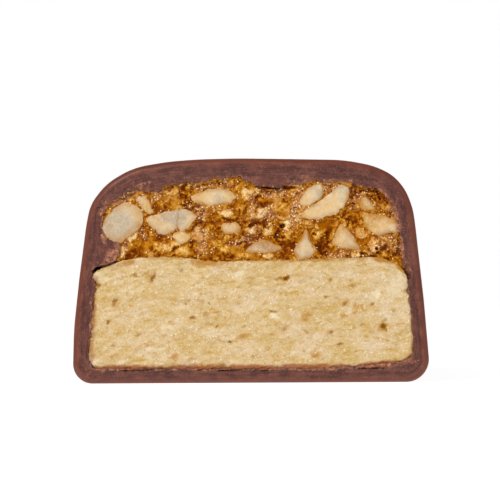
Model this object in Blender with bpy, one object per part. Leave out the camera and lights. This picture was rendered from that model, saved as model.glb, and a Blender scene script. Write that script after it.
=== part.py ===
"""Cut half of a chocolate-coated protein bar.

The bar lies along Y on its flat base, and its cut face looks towards -Y.  A shell of chocolate, open at
the cut, holds a layer of pale dough below and a layer of nut and crisp caramel above.  All lengths here
are in millimetres; new_object turns them into metres.
"""

import math
import random

import bpy
import bmesh
from mathutils import Vector, noise

METRES_PER_MM = 0.001

# Driving dimensions of the piece
BAR_WIDTH = 31.0
BAR_HEIGHT = 19.5
PIECE_LENGTH = 54.0
HALF_WIDTH = BAR_WIDTH / 2
CUT_Y = -PIECE_LENGTH / 2
END_Y = PIECE_LENGTH / 2
FIT_GAP = 0.3                              # left between pieces that touch
WELD = 0.0002                              # points closer than this are one
END_LEAN = math.tan(math.radians(6.0))     # the far wall leans in as the long sides do
CUT_EDGE = 0.35                            # rounding of the shell's outer edge at the cut

# Far end of each body: where it stops, rounding of its sides and top, and rounding along its base
END_DOME = 0.3
SHELL_END = {"y": END_Y, "side": 4.6, "base": 1.5}
CAVITY_END = {"y": END_Y - 1.6, "side": 3.4, "base": 0.9}
FILLING_END = {"y": END_Y - 2.0, "side": 3.2, "base": 0.8}

# Depth of the fillings' faces behind the cut, how far their edges fall back, and their relief
DOUGH_SET_BACK = 0.12
DOUGH_EDGE = 0.2
DOUGH_WAVE = 0.05
DOUGH_WAVE_LENGTH = 2.2
CARAMEL_SET_BACK = 0.75
CARAMEL_EDGE = 0.4
CARAMEL_RELIEF = 0.55
CARAMEL_LUMP = 1.25

# Outlines of the section, seen from the cut: corners as (x, z, radius), anticlockwise from the lower left
SHELL_CORNERS = [
    (-HALF_WIDTH, 0.0, 1.7), (HALF_WIDTH, 0.0, 2.2), (HALF_WIDTH, 3.2, 6.0),
    (HALF_WIDTH - 1.3, 14.3, 14.0), (HALF_WIDTH - 1.85, BAR_HEIGHT - 2.6, 3.0),
    (HALF_WIDTH - 4.5, BAR_HEIGHT - 0.6, 3.6), (6.8, BAR_HEIGHT - 0.1, 16.0), (-1.0, BAR_HEIGHT, 60.0),
    (-8.6, BAR_HEIGHT - 0.35, 10.0), (-HALF_WIDTH + 4.2, BAR_HEIGHT - 1.25, 4.0),
    (-HALF_WIDTH + 1.8, BAR_HEIGHT - 3.3, 4.2), (-HALF_WIDTH + 1.25, 14.0, 10.0),
    (-HALF_WIDTH + 0.2, 5.0, 10.0), (-HALF_WIDTH + 0.1, 2.8, 6.0),
]
CAVITY_CORNERS = [
    (-13.8, 1.3, 1.0), (13.4, 1.35, 0.6), (14.1, 2.7, 1.2), (13.85, 5.5, 4.0), (13.7, 9.6, 1.5),
    (13.05, 12.0, 1.5), (12.9, 13.7, 1.5), (12.3, 15.2, 1.5), (11.1, 16.7, 1.2), (8.2, 17.6, 1.5),
    (4.7, 17.6, 0.6), (3.6, 17.1, 0.6), (1.0, 17.1, 0.6), (-0.9, 17.7, 1.0), (-4.4, 17.5, 3.0),
    (-7.8, 17.0, 3.0), (-10.6, 16.6, 1.5), (-12.6, 15.3, 1.0), (-13.1, 14.0, 1.0),
    (-12.95, 12.75, 0.3), (-11.4, 12.2, 0.4), (-11.2, 11.5, 0.5), (-12.0, 10.8, 0.5),
    (-13.75, 10.4, 0.3),
]
DOUGH_CORNERS = [
    (-13.45, 1.65, 0.9), (12.8, 1.7, 1.0), (13.7, 2.8, 1.2), (13.5, 5.6, 4.0), (13.1, 9.6, 0.8),
    (10.7, 10.4, 2.0), (-9.7, 10.35, 3.0), (-13.35, 9.8, 0.7),
]
CARAMEL_CORNERS = [
    (-10.95, 10.75, 0.3), (10.7, 10.8, 2.0), (12.95, 10.2, 0.3), (12.7, 12.0, 1.5), (12.5, 13.6, 1.5),
    (11.9, 15.0, 1.5), (10.9, 16.35, 1.2), (8.1, 17.2, 1.5), (4.8, 17.2, 0.5), (3.7, 16.7, 0.5),
    (0.9, 16.7, 0.5), (-1.0, 17.3, 1.0), (-4.3, 17.1, 3.0), (-7.7, 16.6, 3.0), (-10.4, 16.2, 1.5),
    (-12.2, 15.1, 1.0), (-12.7, 14.0, 1.0), (-12.55, 13.1, 0.4), (-11.0, 12.55, 0.3),
    (-10.8, 11.5, 0.4),
]

# Pieces of nut that show at the cut: outline, depth behind the cut and bulge of the front
NUTS = {
    "nut_large": {
        "corners": [(-11.1, 12.4), (-9.6, 13.3), (-9.1, 14.2), (-10.3, 16.0), (-11.6, 15.6),
                    (-12.3, 15.0), (-12.6, 13.2)], "depth": 5.0, "bulge": 0.5},
    "nut_chip_left": {
        "corners": [(-8.85, 14.75), (-8.5, 15.0), (-8.75, 15.8), (-9.1, 16.2), (-9.8, 15.8),
                    (-9.35, 15.1)], "depth": 2.4, "bulge": 0.3},
    "nut_split_left": {
        "corners": [(-8.6, 13.5), (-7.9, 12.95), (-7.2, 12.8), (-6.35, 13.4), (-6.45, 15.0),
                    (-7.3, 15.0), (-8.9, 14.35)], "depth": 3.6, "bulge": 0.4},
    "nut_split_right": {
        "corners": [(-6.1, 13.5), (-5.3, 13.55), (-4.5, 14.5), (-5.4, 15.15), (-6.1, 15.05)],
        "depth": 3.2, "bulge": 0.35},
    "nut_lens_top": {
        "corners": [(-3.2, 15.4), (-1.9, 15.7), (-1.4, 16.3), (-2.2, 16.8), (-3.9, 16.7),
                    (-5.0, 16.1), (-4.6, 15.7)], "depth": 3.4, "bulge": 0.4},
    "nut_bit_left": {
        "corners": [(-6.4, 12.15), (-5.6, 12.3), (-5.25, 12.7), (-5.8, 13.05), (-6.6, 13.0),
                    (-7.1, 12.5)], "depth": 2.0, "bulge": 0.3},
    "nut_bit_middle": {
        "corners": [(-2.3, 13.1), (-1.7, 13.0), (-1.2, 13.4), (-1.3, 13.85), (-2.1, 13.9),
                    (-2.6, 13.6)], "depth": 1.8, "bulge": 0.25},
    "nut_lens_low": {
        "corners": [(0.6, 11.3), (2.0, 11.35), (2.8, 11.55), (1.9, 12.35), (1.0, 12.4),
                    (0.1, 12.05), (-0.6, 11.45)], "depth": 3.2, "bulge": 0.35},
    "nut_sliver_short": {
        "corners": [(4.25, 15.6), (4.75, 15.65), (6.0, 16.75), (6.1, 17.1), (5.2, 16.95),
                    (4.5, 16.3)], "depth": 3.0, "bulge": 0.3},
    "nut_sliver_long": {
        "corners": [(5.1, 14.2), (6.2, 14.4), (7.6, 15.2), (8.5, 16.1), (8.6, 16.7), (7.9, 16.9),
                    (6.4, 15.9), (4.8, 15.1), (4.4, 14.5)], "depth": 4.4, "bulge": 0.45},
    "nut_wedge_left": {
        "corners": [(4.2, 11.0), (5.3, 11.0), (5.8, 11.3), (5.2, 12.6), (4.9, 13.1), (4.4, 12.4),
                    (3.7, 11.6)], "depth": 3.0, "bulge": 0.35},
    "nut_wedge_right": {
        "corners": [(8.0, 11.6), (9.4, 11.4), (8.8, 12.2), (8.4, 13.0), (7.8, 13.4), (7.2, 12.8),
                    (6.6, 12.1)], "depth": 3.4, "bulge": 0.35},
    "nut_chip_right": {
        "corners": [(9.7, 15.1), (10.3, 15.0), (10.8, 15.2), (10.1, 16.0), (9.6, 15.9)],
        "depth": 2.2, "bulge": 0.3},
    "nut_right": {
        "corners": [(10.1, 13.2), (11.7, 12.9), (12.6, 12.9), (12.5, 13.9), (12.1, 14.2),
                    (10.7, 14.6), (9.8, 14.3)], "depth": 4.2, "bulge": 0.4},
}
NUT_SET_BACK = 0.05
NUT_CORNER = 0.45
NUT_SIDES = 14
POCKET_MOUTH = 3.0

# Puffed crisps fused to the caramel's face, as (x, z, radius)
CRISPS = [
    (-6.1, 15.9, 0.75), (-7.6, 11.8, 0.65), (-6.3, 11.4, 0.6), (-3.9, 11.8, 0.95), (-2.5, 11.6, 0.9),
    (-1.2, 11.9, 0.7), (3.0, 13.6, 0.7), (5.9, 13.3, 0.55), (2.8, 15.4, 0.9), (1.5, 13.4, 0.5),
    (0.4, 13.4, 0.55), (9.7, 12.7, 0.5), (10.5, 12.0, 0.55), (7.6, 11.2, 0.45), (-8.7, 12.2, 0.6),
    (-9.7, 11.5, 0.75), (-3.5, 13.3, 0.8), (-0.4, 15.5, 0.75), (0.9, 16.0, 0.6), (-7.7, 16.0, 0.6),
    (11.8, 11.9, 0.6), (-2.9, 14.6, 0.6),
]
CRISP_UNEVEN = 0.18
CRISP_SEED = 7

# Pores that show in the dough's face, as (x, z, radius)
PORES = [
    (-8.4, 9.2, 0.45), (-11.7, 7.1, 0.32), (-12.5, 5.4, 0.26), (2.95, 9.1, 0.34), (11.5, 4.7, 0.36),
    (10.4, 6.7, 0.24), (-6.6, 2.3, 0.3),
]

# Faces along each side of a section, as (across, up), and how far a turn of one radian counts
SHELL_GRID = (28, 18)
DOUGH_GRID = (26, 10)
CARAMEL_GRID = (46, 12)
TURN_WEIGHT = 2.0

FINISHES = {
    "chocolate": {"color": (0.165, 0.062, 0.042), "roughness": 0.42},
    "dough": {"color": (0.72, 0.52, 0.27), "roughness": 0.75},
    "caramel": {"color": (0.44, 0.18, 0.035), "roughness": 0.25},
    "nut": {"color": (0.66, 0.50, 0.31), "roughness": 0.5},
}


def clear_objects():
    """Remove whatever the scene holds."""
    for old in list(bpy.data.objects):
        bpy.data.objects.remove(old, do_unlink=True)


def finish_material(name):
    """Principled material of a finish, made once."""
    known = bpy.data.materials.get(name)
    if known:
        return known
    material = bpy.data.materials.new(name)
    material.use_nodes = True
    shader = material.node_tree.nodes["Principled BSDF"]
    shader.inputs["Base Color"].default_value = (*FINISHES[name]["color"], 1.0)
    shader.inputs["Roughness"].default_value = FINISHES[name]["roughness"]
    shader.inputs["Metallic"].default_value = 0.0
    return material


def new_object(name, bm, finish):
    """Turn a bmesh in millimetres into an object in metres, with its faces pointing out."""
    bmesh.ops.recalc_face_normals(bm, faces=bm.faces)
    bmesh.ops.scale(bm, vec=Vector((METRES_PER_MM,) * 3), verts=bm.verts)
    mesh = bpy.data.meshes.new(name)
    bm.to_mesh(mesh)
    bm.free()
    mesh.materials.append(finish_material(finish))
    mesh.shade_smooth()
    mesh.set_sharp_from_angle(angle=math.radians(40))
    made = bpy.data.objects.new(name, mesh)
    bpy.context.scene.collection.objects.link(made)
    return made


def smooth_step(low, high, value):
    """0 below low, 1 above high, eased between them."""
    t = min(1.0, max(0.0, (value - low) / (high - low)))
    return t * t * (3.0 - 2.0 * t)


# ---- outlines ----

def rounded_outline(corners, spacing=0.08):
    """Closed line through the corners, each turned by an arc of its own radius."""
    line = []
    for index, (x, z, radius) in enumerate(corners):
        here = Vector((x, z))
        back = Vector(corners[index - 1][:2]) - here
        ahead = Vector(corners[(index + 1) % len(corners)][:2]) - here
        turn = math.pi - back.angle(ahead)
        reach = min(radius * math.tan(turn / 2), 0.48 * back.length, 0.48 * ahead.length)
        radius = reach / math.tan(turn / 2)
        middle = (back.normalized() + ahead.normalized()).normalized()
        centre = here + middle * math.hypot(radius, reach)
        start = here + back.normalized() * reach - centre
        steps = max(2, math.ceil(radius * turn / spacing))
        sweep = start.angle_signed(here + ahead.normalized() * reach - centre)
        for step in range(steps + 1):
            angle = -sweep * step / steps
            spun = Vector((start.x * math.cos(angle) - start.y * math.sin(angle),
                           start.x * math.sin(angle) + start.y * math.cos(angle)))
            line.append(centre + spun)
    return line


def spaced(line, count):
    """Points along an open line, closer where it turns; its last point is left out."""
    lengths = [0.0]
    heading = None
    for a, b in zip(line, line[1:]):
        step = b - a
        turned = step.angle(heading, 0.0) if heading and step.length else 0.0
        heading = step if step.length else heading
        lengths.append(lengths[-1] + step.length + TURN_WEIGHT * turned)
    points = []
    index = 0
    for step in range(count):
        wanted = lengths[-1] * step / count
        while lengths[index + 1] < wanted:
            index += 1
        run = lengths[index + 1] - lengths[index]
        points.append(line[index].lerp(line[index + 1], (wanted - lengths[index]) / run if run else 0.0))
    return points


def section_ring(corners, grid):
    """Points round an outline, starting at its lower left and split at its four corners."""
    line = rounded_outline(corners)
    width = max(p.x for p in line) - min(p.x for p in line)
    height = max(p.y for p in line) - min(p.y for p in line)
    turns = []
    for side, rise in ((-1, -1), (1, -1), (1, 1), (-1, 1)):
        reach = [side * p.x / width + rise * p.y / height for p in line]
        turns.append(reach.index(max(reach)))
    across, up = grid
    ring = []
    for index, count in enumerate((across, up, across, up)):
        start, stop = turns[index], turns[(index + 1) % 4]
        if stop <= start:
            stop += len(line)
        side_line = [line[i % len(line)] for i in range(start, stop + 1)]
        ring += spaced(side_line, count)
    return ring


def shifted(ring, distance):
    """The ring moved out along its own normals."""
    moved = []
    for index, point in enumerate(ring):
        along = (ring[(index + 1) % len(ring)] - ring[index - 1]).normalized()
        moved.append(point + Vector((along.y, -along.x)) * distance)
    return moved


# ---- bodies ----

def placed(ring, y):
    """A flat ring at one distance along the bar."""
    return [Vector((p.x, y, p.y)) for p in ring]


def end_rings(ring, end, steps):
    """Rings that round a section off towards the far end."""
    half = max(abs(p.x) for p in ring)
    low = min(p.y for p in ring)
    tall = max(p.y for p in ring) - low
    rings = []
    for step in range(steps + 1):
        angle = math.pi / 2 * step / steps
        side_in = end["side"] * (1.0 - math.cos(angle))
        base_in = end["base"] * (1.0 - math.cos(angle))
        points = []
        for p in ring:
            rise = (p.y - low) / tall
            edge = smooth_step(0.5, 1.0, max(abs(p.x) / half, rise))
            reach = end["base"] + (end["side"] - end["base"]) * edge
            z = low + base_in + rise * (tall - side_in - base_in)
            lean = END_LEAN * max(0.0, z - SHELL_END["base"])
            y = end["y"] - reach * (1.0 - math.sin(angle)) - lean
            points.append(Vector((p.x * (1.0 - side_in / half), y, z)))
        rings.append(points)
    return rings


def body_rings(ring, start_y, end, middle, steps):
    """Rings from a start along the bar, with some between, round the far end."""
    far = end_rings(ring, end, steps)
    near = placed(ring, start_y)
    rings = [near]
    for step in range(1, middle + 1):
        rings.append([a.lerp(b, step / (middle + 1)) for a, b in zip(near, far[0])])
    return rings + far


def add_ring(bm, points):
    """Vertices of one ring."""
    return [bm.verts.new(p) for p in points]


def join_rings(bm, rings):
    """Quads between each ring of vertices and the next."""
    for first, second in zip(rings, rings[1:]):
        for index in range(len(first)):
            ahead = (index + 1) % len(first)
            bm.faces.new((first[index], first[ahead], second[ahead], second[index]))


def add_patch(bm, ring, grid, lift):
    """Fill a ring of vertices with a grid; lift(s, t, point) moves its inner points along Y."""
    across, up = grid
    low = [ring[i] for i in range(across + 1)]
    right = [ring[across + j] for j in range(up + 1)]
    high = [ring[2 * across + up - i] for i in range(across + 1)]
    left = [ring[-j] for j in range(up + 1)]
    rows = [low]
    for j in range(1, up):
        t = j / up
        row = [left[j]]
        for i in range(1, across):
            s = i / across
            point = (low[i].co * (1 - t) + high[i].co * t + left[j].co * (1 - s) + right[j].co * s
                     - low[0].co * (1 - s) * (1 - t) - low[-1].co * s * (1 - t)
                     - high[0].co * (1 - s) * t - high[-1].co * s * t)
            point.y += lift(s, t, point)
            row.append(bm.verts.new(point))
        row.append(right[j])
        rows.append(row)
    rows.append(high)
    for lower, upper in zip(rows, rows[1:]):
        for i in range(across):
            bm.faces.new((lower[i], lower[i + 1], upper[i + 1], upper[i]))


def dome(height):
    """Lift that swells a patch by a height in its middle."""
    return lambda s, t, point: height * (1 - (2 * s - 1) ** 2) * (1 - (2 * t - 1) ** 2)


def make_coating():
    """Chocolate shell: closed on every side but the cut."""
    bm = bmesh.new()
    outer = section_ring(SHELL_CORNERS, SHELL_GRID)
    inner = section_ring(CAVITY_CORNERS, SHELL_GRID)
    rings = []
    for step in range(3):
        angle = math.pi / 2 * step / 3
        edge_in = CUT_EDGE * (1.0 - math.sin(angle))
        rings.append(placed(shifted(outer, -edge_in), CUT_Y + CUT_EDGE * (1.0 - math.cos(angle))))
    rings += body_rings(outer, CUT_Y + CUT_EDGE, SHELL_END, 4, 6)
    outside = [add_ring(bm, points) for points in rings]
    inside = [add_ring(bm, points) for points in body_rings(inner, CUT_Y, CAVITY_END, 3, 3)]
    join_rings(bm, list(reversed(outside)) + inside)
    add_patch(bm, outside[-1], SHELL_GRID, dome(END_DOME))
    bm.faces.new(inside[-1])
    return new_object("coating", bm, "chocolate")


def filling_body(corners, grid, start_y, lift):
    """Block of filling: a face with relief at the cut, and a rounded far end."""
    bm = bmesh.new()
    ring = section_ring(corners, grid)
    loops = [add_ring(bm, points) for points in body_rings(ring, start_y, FILLING_END, 1, 2)]
    join_rings(bm, loops)
    add_patch(bm, loops[0], grid, lift)
    bm.faces.new(loops[-1])
    return bm


def lump(place, radius, rng):
    """Rough ball at a place, as its own bmesh."""
    bm = bmesh.new()
    bmesh.ops.create_icosphere(bm, subdivisions=2, radius=radius)
    for vert in bm.verts:
        vert.co *= 1.0 + rng.uniform(-CRISP_UNEVEN, CRISP_UNEVEN)
        vert.co += Vector(place)
    return bm


def largest_body(mesh):
    """Drop all but the largest joined set of faces, so that no scrap or sealed hollow is left."""
    bm = bmesh.new()
    bm.from_mesh(mesh)
    bmesh.ops.remove_doubles(bm, verts=bm.verts, dist=WELD * METRES_PER_MM)
    waiting = set(bm.faces)
    groups = []
    while waiting:
        stack = [waiting.pop()]
        group = list(stack)
        while stack:
            for edge in stack.pop().edges:
                for face in edge.link_faces:
                    if face in waiting:
                        waiting.remove(face)
                        group.append(face)
                        stack.append(face)
        groups.append(group)
    groups.sort(key=len, reverse=True)
    scraps = [face for group in groups[1:] for face in group]
    bmesh.ops.delete(bm, geom=scraps, context="FACES")
    bm.to_mesh(mesh)
    bm.free()


def apply_boolean(target, tools, operation):
    """One Boolean with a collection of tools, applied, after which the tools are gone."""
    group = bpy.data.collections.new("tools")
    bpy.context.scene.collection.children.link(group)
    for tool in tools:
        bpy.context.scene.collection.objects.unlink(tool)
        group.objects.link(tool)
        tool.hide_render = True
        tool.display_type = "WIRE"
    change = target.modifiers.new("cut", "BOOLEAN")
    change.operation = operation
    change.operand_type = "COLLECTION"
    change.collection = group
    change.solver = "EXACT"
    evaluated = target.evaluated_get(bpy.context.evaluated_depsgraph_get())
    result = bpy.data.meshes.new_from_object(evaluated)
    target.modifiers.remove(change)
    for tool in tools:
        bpy.data.objects.remove(tool, do_unlink=True)
    bpy.data.collections.remove(group)
    target.data = result
    result.name = target.name
    largest_body(result)


def dough_lift(s, t, point):
    """Almost flat face, with its edges rounded back."""
    return DOUGH_WAVE * noise.noise(point / DOUGH_WAVE_LENGTH) - DOUGH_EDGE


def make_dough():
    """Pale layer below, flat at the cut, with its largest pores."""
    bm = filling_body(DOUGH_CORNERS, DOUGH_GRID, CUT_Y + DOUGH_SET_BACK + DOUGH_EDGE, dough_lift)
    dough = new_object("dough", bm, "dough")
    rng = random.Random(CRISP_SEED)
    pits = []
    for index, (x, z, radius) in enumerate(PORES):
        pit = lump((x, CUT_Y + DOUGH_SET_BACK, z), radius, rng)
        pits.append(new_object("pit_%d" % index, pit, "dough"))
    apply_boolean(dough, pits, "DIFFERENCE")
    return dough


def caramel_lift(s, t, point):
    """Relief of the caramel's broken face: lumps with folds between them."""
    broad = noise.noise(point / CARAMEL_LUMP)
    fine = abs(noise.noise(point / (CARAMEL_LUMP * 0.5) + Vector((9.0, 4.0, 2.0))))
    rim = min(1.0, min(s, 1 - s, t, 1 - t) * 8.0)
    return (CARAMEL_RELIEF * (broad + 0.6 * fine) - CARAMEL_EDGE) * rim


def make_caramel():
    """Layer above, rough at the cut, with its crisps fused on and a pocket for each nut."""
    start_y = CUT_Y + CARAMEL_SET_BACK + CARAMEL_EDGE
    bm = filling_body(CARAMEL_CORNERS, CARAMEL_GRID, start_y, caramel_lift)
    caramel = new_object("caramel", bm, "caramel")
    rng = random.Random(CRISP_SEED)
    crisps = []
    for index, (x, z, radius) in enumerate(CRISPS):
        crisp = lump((x, CUT_Y + NUT_SET_BACK + radius * (1.0 + CRISP_UNEVEN), z), radius, rng)
        crisps.append(new_object("crisp_%d" % index, crisp, "caramel"))
    apply_boolean(caramel, crisps, "UNION")
    pockets = [make_pocket(name, shape) for name, shape in NUTS.items()]
    apply_boolean(caramel, pockets, "DIFFERENCE")
    return caramel


def nut_ring(shape, grow):
    """Outline of a nut at the cut, moved out by grow."""
    corners = [(x, z, NUT_CORNER) for x, z in shape["corners"]]
    line = rounded_outline(corners)
    return shifted(spaced(line + line[:1], NUT_SIDES), grow)


def shrunk(ring, share):
    """The ring drawn towards its middle, to a share of its size."""
    middle = sum(ring, Vector((0.0, 0.0))) / len(ring)
    return [middle.lerp(p, share) for p in ring]


def close_with_tip(bm, ring, y):
    """Close a ring of vertices with a fan to a point in its middle."""
    middle = sum((v.co for v in ring), Vector()) / len(ring)
    tip = bm.verts.new((middle.x, y, middle.z))
    for index, vert in enumerate(ring):
        bm.faces.new((vert, ring[(index + 1) % len(ring)], tip))


def make_nut(name, shape):
    """Piece of nut: a low bulge at the cut, widest behind it, and a blunt back."""
    bm = bmesh.new()
    ring = nut_ring(shape, -0.03)
    front = CUT_Y + NUT_SET_BACK
    bulge, depth = shape["bulge"], shape["depth"]
    profile = ((0.6, 0.15 * bulge), (0.9, 0.5 * bulge), (1.0, 1.3 * bulge), (0.95, 0.6 * depth),
               (0.6, 0.92 * depth))
    loops = [add_ring(bm, placed(shrunk(ring, share), front + back)) for share, back in profile]
    join_rings(bm, loops)
    close_with_tip(bm, loops[0], front)
    close_with_tip(bm, loops[-1], front + depth)
    return new_object(name, bm, "nut")


def make_pocket(name, shape):
    """Cutter for a nut's place in the caramel, open at the cut."""
    bm = bmesh.new()
    ring = nut_ring(shape, FIT_GAP)
    front = CUT_Y + NUT_SET_BACK
    depth = shape["depth"]
    profile = ((1.0, -POCKET_MOUTH), (1.0, 0.65 * depth), (0.7, depth + FIT_GAP))
    loops = [add_ring(bm, placed(shrunk(ring, share), front + back)) for share, back in profile]
    join_rings(bm, loops)
    bm.faces.new(loops[0])
    bm.faces.new(loops[-1])
    return new_object("pocket_" + name, bm, "caramel")


def make_bar():
    """Every piece of the bar, each in its own object."""
    clear_objects()
    make_coating()
    make_dough()
    make_caramel()
    for name, shape in NUTS.items():
        make_nut(name, shape)


make_bar()
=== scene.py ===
"""Looks of the cut half of a coated protein bar.

Every shape is worked out in millimetres in the part's own frame and turned into metres when its mesh is
made.  The cut face looks towards -Y, so "proud" below means towards -Y.
"""
import functools
import math

import bmesh
import bpy
import numpy as np
from mathutils import Euler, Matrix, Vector


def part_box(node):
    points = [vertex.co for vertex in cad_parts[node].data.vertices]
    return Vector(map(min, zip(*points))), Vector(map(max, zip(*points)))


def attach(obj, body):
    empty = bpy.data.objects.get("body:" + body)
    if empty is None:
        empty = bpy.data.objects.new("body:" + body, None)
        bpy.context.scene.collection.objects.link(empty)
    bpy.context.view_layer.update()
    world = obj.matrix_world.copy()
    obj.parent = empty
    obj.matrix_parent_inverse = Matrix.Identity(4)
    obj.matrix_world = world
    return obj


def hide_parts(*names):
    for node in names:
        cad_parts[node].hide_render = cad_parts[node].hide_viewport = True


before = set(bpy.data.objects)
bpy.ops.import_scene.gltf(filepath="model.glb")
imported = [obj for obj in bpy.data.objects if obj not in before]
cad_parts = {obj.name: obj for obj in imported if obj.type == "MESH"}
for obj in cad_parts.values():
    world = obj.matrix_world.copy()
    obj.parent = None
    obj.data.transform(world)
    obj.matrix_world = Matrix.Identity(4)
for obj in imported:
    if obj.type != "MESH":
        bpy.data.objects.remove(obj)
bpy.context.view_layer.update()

MM = 0.001
SEED = 11

# Places taken from the frame, in millimetres
SHELL_LOW, SHELL_HIGH = (np.array(corner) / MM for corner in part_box("coating"))
CUT = SHELL_LOW[1]
END = SHELL_HIGH[1]
# Half the width of the base at the cut
HALF = 15.5
TALL = SHELL_HIGH[2]
# Least distance of a filling's face behind the cut
FACE_SLACK = 0.01

# Section outlines at the cut, as (x, z), anticlockwise from the lower left
SHELL_CORNERS = [
    (-HALF, 0.0, 1.7), (HALF + 0.12, 0.0, 2.0), (15.03, 7.1, 40.0), (14.3, 13.8, 30.0), (14.1, 15.1, 6.0),
    (13.5, TALL - 2.8, 4.5), (12.44, TALL - 1.54, 3.8), (10.8, TALL - 0.71, 7.0), (8.2, TALL - 0.18, 14.0),
    (3.4, TALL - 0.08, 40.0), (-1.0, TALL, 60.0), (-4.6, TALL - 0.07, 40.0), (-7.1, TALL - 0.26, 20.0),
    (-10.15, TALL - 0.76, 7.0), (-12.5, TALL - 2.14, 5.5), (-13.86, TALL - 3.93, 5.5), (-14.22, 13.9, 20.0),
    (-14.86, 9.2, 40.0), (-15.36, 4.8, 30.0),
]
SHELL_INSIDE = [
    (-13.3, 1.28), (-9.0, 1.24), (-4.5, 1.24), (0.0, 1.22), (4.0, 1.22), (7.0, 1.26), (9.4, 1.45),
    (11.5, 1.58), (12.9, 1.8), (13.8, 2.2), (14.1, 3.0), (13.96, 4.6), (13.8, 6.8), (13.62, 8.4),
    (13.75, 9.4), (13.3, 10.3), (13.15, 11.2), (12.96, 12.4), (12.82, 13.5), (12.62, 14.4), (12.4, 15.15),
    (11.95, 15.75), (11.5, 16.35), (11.05, 16.8), (10.1, 16.9), (8.9, 17.15), (8.1, 17.38), (6.4, 17.45),
    (4.9, 17.45), (3.9, 17.2), (2.4, 17.06), (1.0, 17.02), (0.0, 17.15), (-0.5, 17.45), (-1.1, 17.85),
    (-2.5, 17.75), (-3.9, 17.5), (-5.7, 17.3), (-7.0, 17.15), (-8.0, 16.75), (-8.9, 16.7), (-9.8, 16.85),
    (-10.7, 16.5), (-11.5, 16.1), (-12.4, 15.4), (-12.75, 14.7), (-12.88, 13.7), (-12.7, 12.9),
    (-12.0, 12.4), (-11.3, 12.1), (-11.25, 11.6), (-11.6, 10.9), (-12.1, 10.5), (-12.8, 10.36),
    (-13.4, 10.2), (-13.68, 9.8), (-13.5, 8.5), (-13.6, 7.2), (-13.9, 5.5), (-13.8, 4.8), (-14.0, 3.7),
    (-14.1, 2.3), (-13.85, 1.55),
]
DOUGH_LINE = [
    (-13.5, 1.5), (-12.6, 1.36), (-9.0, 1.36), (-4.0, 1.32), (0.0, 1.3), (4.0, 1.28), (7.0, 1.3),
    (9.5, 1.5), (11.2, 1.62), (12.9, 1.72), (13.8, 2.3), (14.05, 3.2), (13.92, 5.0), (13.78, 7.0),
    (13.6, 8.6), (13.15, 9.75), (12.3, 10.3), (10.7, 10.72), (7.8, 10.7), (4.0, 10.62), (0.0, 10.52),
    (-3.0, 10.46), (-5.0, 10.68), (-7.0, 10.82), (-9.6, 10.8), (-11.0, 10.5), (-11.9, 10.3), (-12.7, 9.94),
    (-13.4, 9.52), (-13.64, 8.9), (-13.6, 7.2), (-13.8, 6.2), (-13.95, 4.2), (-14.0, 2.4),
]
CARAMEL_LINE = [
    (-11.4, 10.5), (-7.0, 10.55), (-2.0, 10.5), (3.0, 10.5), (8.0, 10.55), (12.0, 10.3), (13.4, 9.9),
    (13.6, 11.0), (13.4, 12.4), (13.25, 13.8), (12.95, 14.95), (12.4, 16.0), (11.5, 16.95), (10.2, 17.3),
    (8.9, 17.6), (8.1, 17.85), (6.4, 17.85), (4.7, 17.8), (3.9, 17.5), (2.4, 17.4), (1.0, 17.4),
    (0.0, 17.7), (-0.9, 18.1), (-2.5, 18.1), (-3.9, 17.9), (-5.7, 17.7), (-7.0, 17.5), (-8.0, 17.2),
    (-8.9, 17.15), (-9.8, 17.15), (-10.7, 16.85), (-11.6, 16.45), (-12.6, 15.65), (-13.15, 14.8),
    (-13.3, 13.7), (-13.0, 12.7), (-11.8, 12.2), (-11.5, 11.4),
]

# Points along each side of a section ring, as (across, up)
RIM_SIDES = (420, 260)
BODY_SIDES = (105, 65)
DOUGH_SIDES = (330, 112)
CARAMEL_SIDES = (420, 120)

END_LEAN = math.tan(math.radians(6.0))
SHELL_END = {"y": END, "side": 4.6, "base": 1.5}
FILLING_END = {"y": END - 2.2, "side": 3.2, "base": 0.8}


# ---- repeatable noise ----

def scramble(cell, seed):
    """Repeatable number from 0 to 1 for each whole-number cell."""
    h = cell[..., 0].astype(np.uint32) * np.uint32(374761393)
    h = h + cell[..., 1].astype(np.uint32) * np.uint32(668265263)
    h = h + cell[..., 2].astype(np.uint32) * np.uint32(2246822519)
    h = h + np.uint32(seed * 3266489917 % 2 ** 32)
    h = (h ^ (h >> np.uint32(15))) * np.uint32(2246822519)
    h = (h ^ (h >> np.uint32(13))) * np.uint32(3266489917)
    return ((h ^ (h >> np.uint32(16))) & np.uint32(0xFFFFFF)) / float(0x1000000)


def waves(points, size, seed=0):
    """Smooth noise from -1 to 1, with features of one size."""
    p = np.asarray(points, float) / size
    base = np.floor(p).astype(np.int64)
    f = p - base
    f = f * f * f * (f * (f * 6 - 15) + 10)
    total = 0.0
    for corner in np.ndindex(2, 2, 2):
        x, y, z = (f[..., k] if corner[k] else 1 - f[..., k] for k in range(3))
        total = total + x * y * z * scramble(base + np.array(corner), seed)
    return total * 2 - 1


def layered(points, size, octaves, seed=0, gain=0.5):
    """Noise summed over sizes that halve."""
    total, share, whole = 0.0, 1.0, 0.0
    for octave in range(octaves):
        total = total + share * waves(points, size / 2 ** octave, seed + 31 * octave)
        whole += share
        share *= gain
    return total / whole


def grains(points, size, seed=0):
    """Distance to the nearest of scattered grain centres, and a number for that grain."""
    p = np.asarray(points, float) / size
    base = np.floor(p).astype(np.int64)
    near, mark = np.full(p.shape[:-1], 9.0), np.zeros(p.shape[:-1])
    for step in np.ndindex(3, 3, 3):
        cell = base + np.array(step) - 1
        centre = cell + np.stack([scramble(cell, seed + k) for k in (1, 2, 3)], -1)
        gap = np.linalg.norm(p - centre, axis=-1)
        mark = np.where(gap < near, scramble(cell, seed + 4), mark)
        near = np.minimum(gap, near)
    return near, mark


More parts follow.
